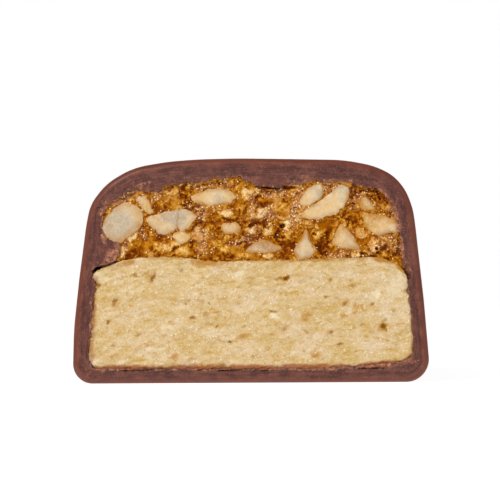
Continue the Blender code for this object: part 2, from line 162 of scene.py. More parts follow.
def eased(low, high, value):
    """0 below low, 1 above high, eased between them."""
    t = np.clip((value - low) / (high - low), 0.0, 1.0)
    return t * t * (3 - 2 * t)


# ---- outlines ----

# Largest share of a side that the arc at its corner may take
ARC_SHARE = 0.48


def rounded_line(corners, spacing=0.05):
    """Closed line through the corners, each turned by an arc of its own radius."""
    line = []
    for index, (x, z, radius) in enumerate(corners):
        here = Vector((x, z))
        back = Vector(corners[index - 1][:2]) - here
        ahead = Vector(corners[(index + 1) % len(corners)][:2]) - here
        turn = math.pi - back.angle(ahead)
        reach = min(radius * math.tan(turn / 2), ARC_SHARE * back.length, ARC_SHARE * ahead.length)
        radius = reach / math.tan(turn / 2)
        middle = (back.normalized() + ahead.normalized()).normalized()
        centre = here + middle * math.hypot(radius, reach)
        start = here + back.normalized() * reach - centre
        sweep = start.angle_signed(here + ahead.normalized() * reach - centre)
        steps = max(2, math.ceil(radius * turn / spacing))
        for step in range(steps + 1):
            angle = -sweep * step / steps
            line.append((centre.x + start.x * math.cos(angle) - start.y * math.sin(angle),
                         centre.y + start.x * math.sin(angle) + start.y * math.cos(angle)))
    return np.array(line)


def smooth_line(points, steps=14):
    """Closed smooth curve through the points."""
    p = np.array(points, float)
    before, after, beyond = np.roll(p, 1, 0), np.roll(p, -1, 0), np.roll(p, -2, 0)
    t = (np.arange(steps) / steps)[None, :, None]
    a, b, c, d = (q[:, None, :] for q in (before, p, after, beyond))
    curve = 0.5 * (2 * b + (c - a) * t + (2 * a - 5 * b + 4 * c - d) * t ** 2
                   + (3 * b - a - 3 * c + d) * t ** 3)
    return curve.reshape(-1, 2)


def section_ring(line, sides):
    """Evenly spaced points round an outline, split at its four corners, from the lower left."""
    width, height = np.ptp(line[:, 0]), np.ptp(line[:, 1])
    turns = [int(np.argmax(side * line[:, 0] / width + rise * line[:, 1] / height))
             for side, rise in ((-1, -1), (1, -1), (1, 1), (-1, 1))]
    ring = []
    for index, count in enumerate((sides[0], sides[1], sides[0], sides[1])):
        start, stop = turns[index], turns[(index + 1) % 4]
        if stop <= start:
            stop += len(line)
        part = line[np.arange(start, stop + 1) % len(line)]
        along = np.concatenate(([0.0], np.cumsum(np.linalg.norm(np.diff(part, axis=0), axis=1))))
        wanted = along[-1] * np.arange(count) / count
        ring.append(np.stack([np.interp(wanted, along, part[:, k]) for k in (0, 1)], -1))
    return np.concatenate(ring)


def outward(ring):
    """Unit normals that point out of a closed ring."""
    along = np.roll(ring, -1, 0) - np.roll(ring, 1, 0)
    along /= np.linalg.norm(along, axis=1)[:, None]
    return np.stack([along[:, 1], -along[:, 0]], -1)


def length_along(ring):
    """Distance of each point from the ring's start."""
    return np.concatenate(([0.0], np.cumsum(np.linalg.norm(np.diff(ring, axis=0), axis=1))))


def line_distance(points, line):
    """Signed distance from flat points to a closed line, negative inside."""
    a, b = line, np.roll(line, -1, 0)
    nearest = np.full(len(points), 1e9)
    inside = np.zeros(len(points), bool)
    for p, q in zip(a, b):
        run = q - p
        share = np.clip(((points - p) @ run) / max(run @ run, 1e-12), 0, 1)
        gap = np.linalg.norm(points - p - share[:, None] * run, axis=1)
        nearest = np.minimum(nearest, gap)
        crosses = (p[1] > points[:, 1]) != (q[1] > points[:, 1])
        with np.errstate(divide="ignore", invalid="ignore"):
            at = p[0] + (points[:, 1] - p[1]) * run[0] / (run[1] if run[1] else 1e-12)
        inside ^= crosses & (points[:, 0] < at)
    return np.where(inside, -nearest, nearest)


def at_y(ring, y):
    """Flat ring set at a distance along the bar."""
    return np.stack([ring[:, 0], np.full(len(ring), 1.0) * y, ring[:, 1]], -1)


def end_rings(ring, end, steps):
    """Rings that round a section off towards the far end."""
    half, low = np.abs(ring[:, 0]).max(), ring[:, 1].min()
    tall = ring[:, 1].max() - low
    rise = (ring[:, 1] - low) / tall
    edge = eased(0.5, 1.0, np.maximum(np.abs(ring[:, 0]) / half, rise))
    reach = end["base"] + (end["side"] - end["base"]) * edge
    rings = []
    for step in range(steps + 1):
        angle = math.pi / 2 * step / steps
        side_in = end["side"] * (1 - math.cos(angle))
        base_in = end["base"] * (1 - math.cos(angle))
        z = low + base_in + rise * (tall - side_in - base_in)
        y = end["y"] - reach * (1 - math.sin(angle)) - END_LEAN * np.maximum(0, z - SHELL_END["base"])
        rings.append(np.stack([ring[:, 0] * (1 - side_in / half), y, z], -1))
    return rings


# ---- meshes ----

def placed(name, data):
    """Object of a mesh, light or camera, linked to the scene."""
    piece = bpy.data.objects.new(name, data)
    bpy.context.scene.collection.objects.link(piece)
    return piece


class Skin:
    """Points and faces of one piece, gathered ring by ring, with the marks that its finish reads."""

    def __init__(self, *marks):
        self.points, self.quads, self.triangles, self.count = [], [], [], 0
        self.marks = {name: [] for name in marks}

    def add(self, points, **values):
        """Add points with their marks, 0 where not given, and give back their numbers."""
        points = np.asarray(points, float)
        numbers = np.arange(self.count, self.count + len(points))
        self.points.append(points)
        self.count += len(points)
        for name, gathered in self.marks.items():
            gathered.append(np.zeros(len(points)) + values.get(name, 0.0))
        return numbers

    def mark(self, numbers, rest=0.0, **values):
        """Set marks at some points, kept from 0 to 1; all others get the rest value."""
        for name, wanted in values.items():
            full = np.full(self.count, rest)
            full[numbers] = np.clip(wanted, 0, 1)
            self.marks[name] = [full]

    def join(self, a, b):
        """Quads between two rings of the same count."""
        self.quads.append(np.stack([a, np.roll(a, -1), np.roll(b, -1), b], -1))

    def halve(self, fine, coarse):
        """Faces between a ring and one with half its points."""
        f0, f1, f2 = fine[0::2], fine[1::2], np.roll(fine, -2)[0::2]
        c1 = np.roll(coarse, -1)
        self.triangles.append(np.stack([f0, f1, coarse], -1))
        self.triangles.append(np.stack([f1, c1, coarse], -1))
        self.triangles.append(np.stack([f1, f2, c1], -1))

    def run(self, last, rings, **values):
        """Add rings, each joined to the one before; gives back the last."""
        for points in rings:
            ring = self.add(points, **values)
            self.join(last, ring)
            last = ring
        return last

    def grid(self, ring, sides):
        """Fill a ring with a grid; gives back the numbers of its inner points."""
        points = np.concatenate(self.points)
        across, up = sides
        low, right = ring[:across + 1], ring[across:across + up + 1]
        high = ring[across + up:2 * across + up + 1][::-1]
        left = np.concatenate((ring[:1], ring[2 * across + up:][::-1]))
        s = (np.arange(1, across) / across)[None, :, None]
        t = (np.arange(1, up) / up)[:, None, None]
        lo, hi = points[low[1:-1]][None], points[high[1:-1]][None]
        le, ri = points[left[1:-1]][:, None], points[right[1:-1]][:, None]
        c00, c10, c01, c11 = (points[k] for k in (low[0], low[-1], high[0], high[-1]))
        inner = (lo * (1 - t) + hi * t + le * (1 - s) + ri * s - c00 * (1 - s) * (1 - t)
                 - c10 * s * (1 - t) - c01 * (1 - s) * t - c11 * s * t)
        numbers = self.add(inner.reshape(-1, 3))
        table = np.zeros((up + 1, across + 1), int)
        table[0], table[-1], table[:, 0], table[:, -1] = low, high, left, right
        table[1:-1, 1:-1] = numbers.reshape(up - 1, across - 1)
        self.quads.append(np.stack([table[:-1, :-1], table[:-1, 1:], table[1:, 1:], table[1:, :-1]],
                                   -1).reshape(-1, 4))
        return numbers

    def fan(self, ring, tip=None, **values):
        """Close a ring with triangles to one point, or else to the middle of the points added last."""
        number = self.add([self.points[-1].mean(0) if tip is None else tip], **values)[0]
        self.triangles.append(np.stack([ring, np.roll(ring, -1), np.full(len(ring), number)], -1))

    def build(self, name, material):
        """Make the object, in metres, with its faces pointing out."""
        mesh = bpy.data.meshes.new(name)
        faces = [face for group in self.quads + self.triangles for face in group.tolist()]
        mesh.from_pydata((np.concatenate(self.points) * MM).tolist(), [], faces)
        for key, values in self.marks.items():
            layer = mesh.attributes.new(key, "FLOAT", "POINT")
            layer.data.foreach_set("value", np.concatenate(values).astype(np.float32))
        bm = bmesh.new()
        bm.from_mesh(mesh)
        bmesh.ops.recalc_face_normals(bm, faces=bm.faces)
        bm.to_mesh(mesh)
        bm.free()
        mesh.shade_smooth()
        mesh.materials.append(material)
        return placed(name, mesh)


# ---- materials ----

def feed(tree, socket, value):
    """Link a socket's value in, or set it."""
    if isinstance(value, bpy.types.NodeSocket):
        tree.links.new(value, socket)
    else:
        socket.default_value = value


def add_node(tree, kind, inputs=None, **settings):
    """Add a node with its settings, and link or set its inputs."""
    made = tree.nodes.new(kind)
    for key, value in settings.items():
        setattr(made, key, value)
    for key, value in (inputs or {}).items():
        feed(tree, made.inputs[key], value)
    return made


# Numbers of a Mix node's sockets for colours
MIX_SHARE, MIX_FIRST, MIX_SECOND, MIX_RESULT = 0, 6, 7, 2


class Finish:
    """A Principled material built node by node; its colours are display colours from 0 to 255."""

    def __init__(self, name, **sockets):
        self.material = bpy.data.materials.new(name)
        self.material.use_nodes = True
        self.tree = self.material.node_tree
        self.shader = self.tree.nodes["Principled BSDF"]
        for key, value in sockets.items():
            self.shader.inputs[key.replace("_", " ")].default_value = value

    def node(self, kind, inputs=None, output=0, **settings):
        """Add a node and give back one of its outputs."""
        return add_node(self.tree, kind, inputs, **settings).outputs[output]

    def place(self):
        """Object coordinates, in metres."""
        return self.node("ShaderNodeTexCoord", output="Object")

    def stored(self, name):
        """A mark of the mesh."""
        return self.node("ShaderNodeAttribute", output="Fac", attribute_name=name)

    def noise(self, where, size, detail=2.0, rough=0.5):
        """Noise whose features have a size in millimetres."""
        return self.node("ShaderNodeTexNoise", {"Vector": where, "Scale": 1.0 / (size * MM),
                                                "Detail": detail, "Roughness": rough})

    def ramp(self, source, stops):
        """Colour ramp; stops are (place, colour)."""
        made = add_node(self.tree, "ShaderNodeValToRGB", {"Fac": source})
        elements = made.color_ramp.elements
        while len(elements) < len(stops):
            elements.new(1.0)
        for element, (place, colour) in zip(elements, stops):
            element.position = place
            element.color = srgb(*colour)
        return made.outputs["Color"]

    def mix(self, share, *colours, blend="MIX"):
        """Mix two colours, each a socket or a display colour."""
        first, second = (c if isinstance(c, bpy.types.NodeSocket) else srgb(*c) for c in colours)
        return self.node("ShaderNodeMix", {MIX_SHARE: share, MIX_FIRST: first, MIX_SECOND: second},
                         MIX_RESULT, data_type="RGBA", blend_type=blend)

    def stained(self, base, *stains):
        """Lay stains over a base; each is (source, low, high, share at low, share at high, colour)."""
        for source, *span, colour in stains:
            base = self.mix(self.spread(source, *span), base, colour)
        return base

    def math(self, operation, a, b, clamp=False):
        """Arithmetic on two sockets."""
        return self.node("ShaderNodeMath", {0: a, 1: b}, operation=operation, use_clamp=clamp)

    def spread(self, source, low, high, to_low=0.0, to_high=1.0):
        """Map a range of a socket to another range, clamped."""
        return self.node("ShaderNodeMapRange", {"Value": source, "From Min": low, "From Max": high,
                                                "To Min": to_low, "To Max": to_high})

    def set(self, socket, source):
        """Link a source into the shader."""
        self.tree.links.new(source, self.shader.inputs[socket])

    def bump(self, *layers):
        """Chain of bumps; each layer is (height socket, depth in millimetres)."""
        chained = {}
        for height, depth in layers:
            chained["Normal"] = self.node("ShaderNodeBump", {"Height": height, "Strength": 1.0,
                                                             "Distance": depth * MM, **chained})
        self.set("Normal", chained["Normal"])


def srgb(red, green, blue):
    """Linear colour of a display colour given from 0 to 255."""
    linear = (c / 255 / 12.92 if c <= 10.3 else ((c / 255 + 0.055) / 1.055) ** 2.4
              for c in (red, green, blue))
    return (*linear, 1.0)


def chocolate_finish():
    """Milk chocolate: satin outside, drawn and dusty where it was cut."""
    f = Finish("milk_chocolate", Roughness=0.42, Subsurface_Weight=0.05, Subsurface_Scale=0.0004,
               Subsurface_Radius=(1.0, 0.4, 0.25), Specular_IOR_Level=0.28, Coat_Weight=0.05,
               Coat_Roughness=0.25)
    place, across, cut = f.place(), f.stored("across"), f.stored("cut")
    body = f.mix(f.spread(f.noise(place, 4.0, 3), 0.3, 0.7), (104, 50, 34), (122, 62, 44))
    wall = f.node("ShaderNodeCombineXYZ", {"X": f.stored("along"), "Y": across})
    drag = f.node("ShaderNodeMapping", {"Vector": wall, "Scale": (0.35, 3.2, 1.0)})
    streaks, clouds = f.noise(drag, 1 / MM, 5, 0.7), f.noise(place, 0.8, 4, 0.7)
    dust = f.noise(place, 0.12, 2, 0.7)
    bent = f.math("ADD", across, f.spread(f.noise(place, 1.2, 3, 0.6), 0.3, 0.7, -0.3, 0.3))
    face = f.ramp(f.spread(bent, 0.0, 2.0), [(0.12, (126, 66, 46)), (0.34, (92, 49, 39)),
                                             (0.8, (96, 53, 43)), (1.0, (106, 58, 46))])
    height = f.node("ShaderNodeSeparateXYZ", {"Vector": place}, "Z")
    face = f.stained(face, (height, 0.5 * MM, 2.0 * MM, 0.4, 0.0, (104, 68, 58)),
                     (streaks, 0.36, 0.56, 0.65, 0.0, (64, 28, 24)),
                     (streaks, 0.5, 0.7, 0.0, 0.55, (132, 78, 62)),
                     (clouds, 0.35, 0.5, 0.6, 0.0, (66, 30, 28)),
                     (clouds, 0.52, 0.7, 0.0, 0.5, (132, 80, 64)),
                     (dust, 0.57, 0.72, 0.0, 0.5, (160, 106, 86)))
    torn = f.ramp(f.noise(place, 0.3, 3, 0.7), [(0.35, (134, 76, 50)), (0.5, (172, 110, 78)),
                                                (0.65, (208, 154, 118))])
    f.set("Base Color", f.mix(cut, body, f.mix(f.stored("pale"), face, torn)))
    f.set("Roughness", f.spread(f.noise(place, 1.4, 3), 0.3, 0.7, 0.36, 0.5))
    f.bump((f.noise(place, 0.25, 3, 0.6), 0.012), (f.math("MULTIPLY", clouds, cut), 0.08),
           (f.math("MULTIPLY", streaks, cut), 0.04))
    return f.material


def dough_finish():
    """Pale protein dough with fine grain, warm flecks, and brown pores whose darkness is partly painted
    shade.
    """
    f = Finish("protein_dough", Roughness=0.5, Subsurface_Weight=0.5, Subsurface_Scale=0.0005,
               Subsurface_Radius=(1.0, 0.75, 0.45), Specular_IOR_Level=0.3)
    place = f.place()
    lying = f.node("ShaderNodeMapping", {"Vector": place, "Rotation": (0.0, math.radians(12), 0.0),
                                         "Scale": (0.6, 1.0, 1.2)})
    lumps, flecks = f.noise(lying, 1.0, 4, 0.6), f.noise(lying, 0.45, 3, 0.6)
    grain, specks_and_glints = f.noise(place, 0.2, 2, 0.6), f.noise(place, 0.14, 1, 0.6)
    base = f.ramp(f.noise(lying, 2.4, 3, 0.6), [(0.35, (207, 177, 118)), (0.5, (212, 184, 132)),
                                                (0.62, (216, 191, 150))])
    base = f.stained(base, (lumps, 0.54, 0.66, 0.0, 0.5, (232, 210, 180)),
                     (lumps, 0.34, 0.46, 0.45, 0.0, (200, 160, 80)),
                     (flecks, 0.54, 0.68, 0.0, 0.7, (196, 150, 50)),
                     (flecks, 0.34, 0.46, 0.5, 0.0, (230, 206, 174)),
                     (grain, 0.57, 0.7, 0.0, 0.6, (184, 136, 40)))
    base = f.mix(f.stored("cream"), base, (238, 226, 194))
    base = f.mix(f.stored("warm"), base, (226, 190, 96), blend="MULTIPLY")
    # Pale specks: partly pale bits of the dough, partly painted highlights.
    base = f.stained(base, (specks_and_glints, 0.64, 0.72, 0.0, 0.8, (248, 236, 208)))
    honey, pit = f.stored("honey"), f.stored("pit")
    base = f.mix(honey, base, (214, 166, 54), blend="MULTIPLY")
    # Painted shade: pores and small pits are tinted darker golden-brown, partly their own colour and partly
    # the shade inside them.
    base = f.mix(pit, base, (176, 144, 16), blend="MULTIPLY")
    f.set("Base Color", f.mix(f.stored("smear"), base, (158, 88, 40)))
    soaked = f.math("MAXIMUM", honey, pit)
    f.set("Subsurface Weight", f.spread(soaked, 0.0, 1.0, 0.5, 0.05))
    f.set("Specular IOR Level", f.spread(soaked, 0.0, 1.0, 0.3, 0.02))
    f.bump((lumps, 0.1), (flecks, 0.1), (grain, 0.05), (specks_and_glints, 0.03))
    return f.material


AMBER = [(0.0, (102, 38, 0)), (0.16, (132, 62, 0)), (0.34, (162, 91, 0)), (0.5, (184, 118, 16)),
         (0.66, (206, 149, 56)), (0.82, (226, 182, 108)), (1.0, (242, 214, 168))]
SUGAR_DUST = (198, 142, 98)
WARM_GLINT = srgb(255, 226, 170)


def caramel_finish():
    """Broken crunchy caramel: glossy amber, dusty where it crumbled, with painted shade darkening its
    hollows and painted highlights lightening its ridges.
    """
    f = Finish("crunch_caramel", Subsurface_Weight=0.4, Subsurface_Scale=0.0004,
               Subsurface_Radius=(1.0, 0.55, 0.2), Specular_IOR_Level=0.09, Specular_Tint=WARM_GLINT)
    place, dust, grit = f.place(), f.stored("dust"), f.stored("grit")
    fine = f.spread(f.noise(place, 0.18, 3, 0.75), 0.25, 0.75, -0.55, 0.55)
    tone = f.math("ADD", f.stored("tone"), f.math("MULTIPLY", fine, grit), clamp=True)
    f.set("Base Color", f.mix(dust, f.ramp(tone, AMBER), SUGAR_DUST))
    f.set("Roughness", f.spread(dust, 0.0, 0.7, 0.28, 0.5))
    f.bump((f.math("MULTIPLY", f.noise(place, 0.14, 3, 0.6), grit), 0.06))
    return f.material


def crumb_finish(name, shades):
    """Crumbs, each of its own shade."""
    f = Finish(name, Roughness=0.6, Specular_IOR_Level=0.02, Specular_Tint=WARM_GLINT)
    stops = [(index / (len(shades) - 1), shade) for index, shade in enumerate(shades)]
    f.set("Base Color", f.ramp(f.stored("tint"), stops))
    return f.material


# Shades of the caramel's crumbs; the palest also stand in for painted glints.
SUGAR_AND_GLINT_SHADES = [(146, 82, 26), (172, 106, 48), (196, 134, 74), (218, 164, 108), (236, 194, 144),
                (255, 234, 196)]
CHOCOLATE_SHADES = [(96, 52, 40), (118, 68, 52), (136, 84, 66), (164, 110, 88)]


def nut_finish():
    """Chopped nut: ivory flesh, warmer and darker at its edges, partly from caramel showing through and
    partly from painted shade.
    """
    f = Finish("chopped_nut", Roughness=0.45, Subsurface_Weight=0.4, Subsurface_Scale=0.0008,
               Subsurface_Radius=(1.0, 0.8, 0.6), Specular_IOR_Level=0.3)
    place = f.place()
    flesh = f.ramp(f.stored("yellow"), [(0.0, (186, 170, 144)), (0.25, (220, 192, 148)),
                                        (0.5, (222, 182, 120)), (0.75, (206, 158, 78)),
                                        (1.0, (188, 126, 30))])
    grain = f.noise(place, 0.16, 3, 0.65)
    cloudy = f.spread(f.noise(place, 0.9, 4, 0.65), 0.34, 0.62)
    flesh = f.mix(f.math("MULTIPLY", cloudy, f.stored("cloud")), flesh, (172, 128, 86))
    flesh = f.stained(flesh, (grain, 0.4, 0.68, 0.0, 0.3, (240, 224, 194)))
    # Darker golden edge: partly caramel showing through the thin edge, partly painted shade where the face
    # rounds away.
    f.set("Base Color", f.mix(f.stored("edge"), flesh, (186, 128, 40)))
    f.bump((f.noise(place, 0.5, 3, 0.6), 0.08), (grain, 0.025))
    return f.material


# ---- coating ----

# Rounded edge of the cut: how far it reaches in over the face, and back along the side
CUT_ROUND_IN, CUT_ROUND_BACK = 0.6, 0.5
ROUND_ROWS = 8
RIM_ROWS = 24
# Inner wall behind the cut: (distance back, distance out from the inner edge)
INNER_WALL = [(0.14, 0.0), (0.28, -0.06), (0.46, -0.22), (1.0, -0.25), (2.6, -0.1)]
# Corner where the coating stands off the dough
GAP_AT, GAP_REACH = (-13.4, 9.98), 0.3
# Torn, lighter places of the inner edge: (x, z, half width, half height, turn in degrees, strength)
PALE_EDGES = [
    (11.85, 15.95, 1.15, 0.16, -56, 1.0), (12.65, 14.5, 0.75, 0.14, -66, 1.0),
    (12.9, 13.4, 0.65, 0.12, 90, 0.9), (13.08, 12.0, 1.05, 0.13, -80, 0.9),
    (13.42, 10.5, 0.75, 0.2, -67, 1.0), (13.74, 6.2, 2.6, 0.08, -88, 0.4),
    (-12.8, 13.8, 1.5, 0.18, 92, 1.0), (-11.8, 11.2, 0.6, 0.4, -10, 0.9), (-11.6, 12.0, 0.4, 0.3, 30, 0.6),
    (-13.5, 15.3, 0.4, 0.12, 20, 0.5), (-12.7, 15.3, 0.6, 0.2, 50, 0.7), (-12.3, 10.6, 0.9, 0.25, 24, 0.9),
    (-9.4, 17.1, 0.8, 0.35, 12, 0.6), (-3.0, 17.8, 2.6, 0.12, 0, 0.3), (6.2, 17.5, 2.2, 0.16, 0, 0.5),
    (10.9, 1.42, 2.4, 0.22, 5, 0.9), (13.7, 1.95, 0.5, 0.2, 35, 0.6), (-12.3, 1.2, 1.4, 0.14, 0, 0.9),
    (-9.4, 1.2, 1.6, 0.08, 0, 0.6), (-5.0, 1.22, 1.8, 0.14, 0, 0.9), (-1.5, 1.2, 1.6, 0.12, 0, 0.7),
    (2.0, 1.2, 2.4, 0.12, 0, 0.8), (6.4, 1.22, 2.4, 0.14, 0, 0.8), (-13.85, 4.6, 0.1, 2.4, 0, 0.5),
    (-0.7, 17.7, 1.0, 0.25, -10, 0.5), (4.8, 17.6, 0.45, 0.5, 0, 0.45),
]
PALE_REACH = 0.28
# Scratches on the cut rim: (x, z) to (x, z), depth, brightness
SCRATCHES = [
    (3.0, 17.95, 3.25, 17.65, 0.03, 0.35), (3.25, 17.65, 3.5, 17.95, 0.03, 0.35),
    (4.7, 18.9, 3.7, 17.2, 0.03, 0.12), (-13.2, 12.3, -12.6, 12.3, 0.02, 0.3),
    (-13.9, 14.5, -13.55, 14.2, 0.03, 0.3), (12.6, 15.4, 12.8, 15.9, 0.02, 0.4),
    (-7.0, 18.3, -5.7, 18.35, 0.02, 0.15), (9.7, 18.4, 10.2, 17.9, 0.02, 0.15),
    (-14.0, 15.1, -12.9, 15.3, 0.15, 0.0), (-2.0, 18.65, 0.1, 18.7, 0.08, 0.0),
    (0.9, 18.1, 4.2, 18.3, 0.05, 0.0), (-13.4, 3.1, -13.1, 2.5, 0.03, 0.25),
    (-11.3, 1.12, -8.6, 1.16, 0.3, 0.0), (-4.6, 1.14, -3.7, 1.2, 0.25, 0.0),
    (-2.8, 1.1, -0.7, 1.14, 0.3, 0.0), (0.3, 1.14, 1.5, 1.12, 0.25, 0.0), (9.3, 1.2, 11.5, 1.24, 0.3, 0.0),
]
SCRATCH_WIDTH = 0.05
# Ragged inner edge: (depth, size of its features, seed)
EDGE_TEARS = ((0.18, 0.9, SEED), (0.20, 0.3, SEED + 5))
# How far behind the cut the rings of the coat lie: all the points, half and a quarter of them
COAT_FULL, COAT_HALF, COAT_QUARTER = (0.72, 1.0), 1.4, 2.0
BODY_ROWS = 58
COAT_END_ROWS = 14
FILLING_END_ROWS = 4
# Hollow for the filling: its slack, the places of its rings, and how deep its wall counts as cut
HOLLOW_SLACK = 0.1
HOLLOW_HALF, HOLLOW_QUARTER = 4.0, 6.0
HOLLOW_ACROSS = 3.0
# Ripples of the poured coat: depth, size, and the point that they swell away from
RIPPLE_DEPTH, RIPPLE_SIZE = 0.10, 6.0
RIPPLE_FROM = (0.0, 0.0, 9.0)
# Dome of the far end: middle and half widths as (x, z), and its height
DOME_AT, DOME_HALF = (0.0, 8.0), (11.5, 7.0)
DOME_RISE, DOME_UNEVEN = 0.3, 0.2


def scratches(flat):
    """Depth and brightness of the scratches over flat points."""
    groove = np.zeros(len(flat))
    bright = np.zeros(len(flat))
    for x0, z0, x1, z1, depth, brightness in SCRATCHES:
        run = np.array((x1 - x0, z1 - z0))
        share = np.clip(((flat - (x0, z0)) @ run) / (run @ run), 0, 1)
        away = np.linalg.norm(flat - (x0, z0) - share[:, None] * run, axis=1)
        mark = np.exp(-(away / SCRATCH_WIDTH) ** 2)
        groove = np.maximum(groove, depth * mark)
        bright = np.maximum(bright, brightness * mark)
    return groove, bright


def patches(flat, places, wobble):
    """Strongest of the soft ellipses over each flat point."""
    field = np.zeros(len(flat))
    for *ellipse, strength in places:
        away = ellipse_distance(flat, *ellipse) + wobble
        field = np.maximum(field, strength * (1 - eased(0.45, 1.35, away)))
    return field


def ellipse_distance(flat, x, z, wide, tall, turn):
    """Distance of flat points from an ellipse's middle, 1 on its outline."""
    angle = math.radians(turn)
    dx, dz = flat[:, 0] - x, flat[:, 1] - z
    across = (dx * math.cos(angle) + dz * math.sin(angle)) / wide
    up = (dz * math.cos(angle) - dx * math.sin(angle)) / tall
    return np.hypot(across, up)


def coat_rim(skin, outer, inner):
    """Rounded edge and torn face of the cut; gives back its end rings, its thickness and its lightness."""
    along, normal = length_along(outer), outward(outer)
    rows = []
    for step in range(ROUND_ROWS):
        angle = math.pi / 2 * step / ROUND_ROWS
        inset = CUT_ROUND_IN * (1 - math.cos(angle))
        back = CUT_ROUND_BACK * (1 - math.sin(angle))
        rows.append(skin.add(at_y(outer - normal * inset, CUT + back), along=along, across=inset,
                             cut=eased(0.3, 1.0, step / ROUND_ROWS)))
    start = outer - normal * CUT_ROUND_IN
    thickness = np.linalg.norm(start - inner, axis=1)
    wide_edges = [(x, z, wide + PALE_REACH / 2, tall + PALE_REACH, turn, strength)
                  for x, z, wide, tall, turn, strength in PALE_EDGES]
    for step in range(RIM_ROWS + 1):
        share = step / RIM_ROWS
        inside = eased(0.7, 0.95, share)
        flat = start + (inner - start) * share
        seat = at_y(flat, 0.0)
        across = CUT_ROUND_IN + thickness * share
        where = np.stack([along / 2.2, across / 0.2, np.zeros_like(along)], -1)
        drawn = 0.04 * layered(where, 1.0, 3, SEED + 9) + 0.04 * layered(seat, 1.6, 3, SEED + 10)
        crumbly = layered(seat, 0.28, 3, SEED + 12, 0.65)
        lumpy = layered(seat, 0.5, 3, SEED + 14, 0.6)
        light = patches(flat, PALE_EDGES, 1.3 * layered(seat, 0.35, 3, SEED + 13))
        light = np.maximum(light, inside * patches(flat, wide_edges, 0.0))
        torn = eased(0.5, 1.0, share) * 0.13 * crumbly - 0.3 * light * lumpy
        strewn = 0.04 * eased(0.6, 1.0, share) + 0.3 * light
        groove, bright = scratches(flat)
        back = 0.05 + drawn + torn + (0.08 - 0.16 * light) * inside + groove
        light = light * np.clip(0.9 + 0.9 * crumbly + 0.9 * lumpy, 0.3, 1)
        light = np.maximum(light, 0.6 * eased(0.86, 1.0, share) * eased(0.0, 0.4, crumbly))
        rows.append(skin.add(at_y(flat, np.maximum(CUT + back, CUT + 0.002)), along=along, across=across,
                             cut=1.0, pale=np.maximum(light, bright), crumbs=strewn))
    for a, b in zip(rows, rows[1:]):
        skin.join(a, b)
    return rows[0], rows[-1], thickness, light


def coat_inside(skin, inner, along, lip, thickness, light):
    """Wall behind the ragged edge, and the closed hollow that holds the filling."""
    open_gap = np.exp(-((inner[:, 0] - GAP_AT[0]) ** 2 + (inner[:, 1] - GAP_AT[1]) ** 2) / GAP_REACH ** 2)
    steep = 1 - 0.9 * eased(10.3, 11.0, inner[:, 1])
    for back, out in INNER_WALL:
        points = at_y(inner + outward(inner) * (out * steep + 0.3 * open_gap)[:, None], CUT + back)
        points[:, 0] += 0.04 * layered(points, 0.5, 2, SEED + 20)
        points[:, 2] += 0.04 * layered(points, 0.5, 2, SEED + 21)
        lip = skin.run(lip, [points], along=along, across=thickness + back, cut=1.0, pale=0.7 * light)
    half, quarter = (inner[::skip] + outward(inner[::skip]) * HOLLOW_SLACK for skip in (2, 4))
    middle = skin.add(at_y(half, CUT + HOLLOW_HALF), along=along[::2], across=HOLLOW_ACROSS, cut=1.0)
    skin.halve(lip, middle)
    tunnel = skin.add(at_y(quarter, CUT + HOLLOW_QUARTER), along=along[::4], across=HOLLOW_ACROSS, cut=1.0)
    skin.halve(middle, tunnel)
    tunnel = skin.run(tunnel, end_rings(quarter, FILLING_END, FILLING_END_ROWS), along=along[::4],
                      across=HOLLOW_ACROSS, cut=1.0)
    skin.fan(tunnel, cut=1.0)


def rippled(points):
    """Soft unevenness of a poured coat, none on the base."""
    lift = eased(0.2, 1.5, points[:, 2])
    push = RIPPLE_DEPTH * layered(points * (1, 0.6, 1), RIPPLE_SIZE, 3, SEED + 30)
    away = points - np.array(RIPPLE_FROM)
    away[:, 1] *= 0.15
    away /= np.linalg.norm(away, axis=1)[:, None]
    return points + away * (lift * push - 0.05 * lift)[:, None]


def coat_outside(skin, outer, side):
    """Top, sides and base of the coat, and its domed far end."""
    for back in COAT_FULL:
        ring = skin.add(at_y(outer, CUT + back))
        skin.join(ring, side)
        side = ring
    half = skin.add(at_y(outer[::2], CUT + COAT_HALF))
    skin.halve(side, half)
    near = at_y(outer[::4], CUT + COAT_QUARTER)
    ring = skin.add(near)
    skin.halve(half, ring)
    ends = end_rings(outer[::4], SHELL_END, COAT_END_ROWS)
    for step in range(1, BODY_ROWS):
        points = near + (ends[0] - near) * step / BODY_ROWS
        points = points + (rippled(points) - points) * eased(0.0, 0.12, step / BODY_ROWS)
        ring = skin.run(ring, [points])
    ring = skin.run(ring, [rippled(points) for points in ends])
    skin.grid(ring, BODY_SIDES)
    cap = skin.points[-1]
    flat = (cap[:, [0, 2]] - np.array(DOME_AT)) / np.array(DOME_HALF)
    domed = np.clip(1 - (flat ** 2).sum(1), 0, 1) ** 2
    cap[:, 1] += domed * (DOME_RISE + DOME_UNEVEN * waves(cap, 5.0, SEED + 31))
    cap[:, 1] = np.minimum(cap[:, 1], END)


def make_coating(material):
    """Chocolate shell: cut rim with its ragged inner edge, the hollow behind it, and the coat outside."""
    outer = section_ring(rounded_line(SHELL_CORNERS), RIM_SIDES)
    inner = section_ring(smooth_line(SHELL_INSIDE), RIM_SIDES)
    seat = at_y(inner, 0.0)
    ragged = sum(depth * layered(seat, size, 3, seed) for depth, size, seed in EDGE_TEARS)
    ragged = ragged * (0.35 + 0.65 * eased(1.5, 9.5, inner[:, 1]))
    inner = inner + outward(inner) * ragged[:, None]
    skin = Skin("along", "across", "cut", "pale", "crumbs")
    side, lip, thickness, light = coat_rim(skin, outer, inner)
    coat_inside(skin, inner, length_along(outer), lip, thickness, light)
    coat_outside(skin, outer, side)
    return skin.build("bar_coating", material)


# ---- dough ----

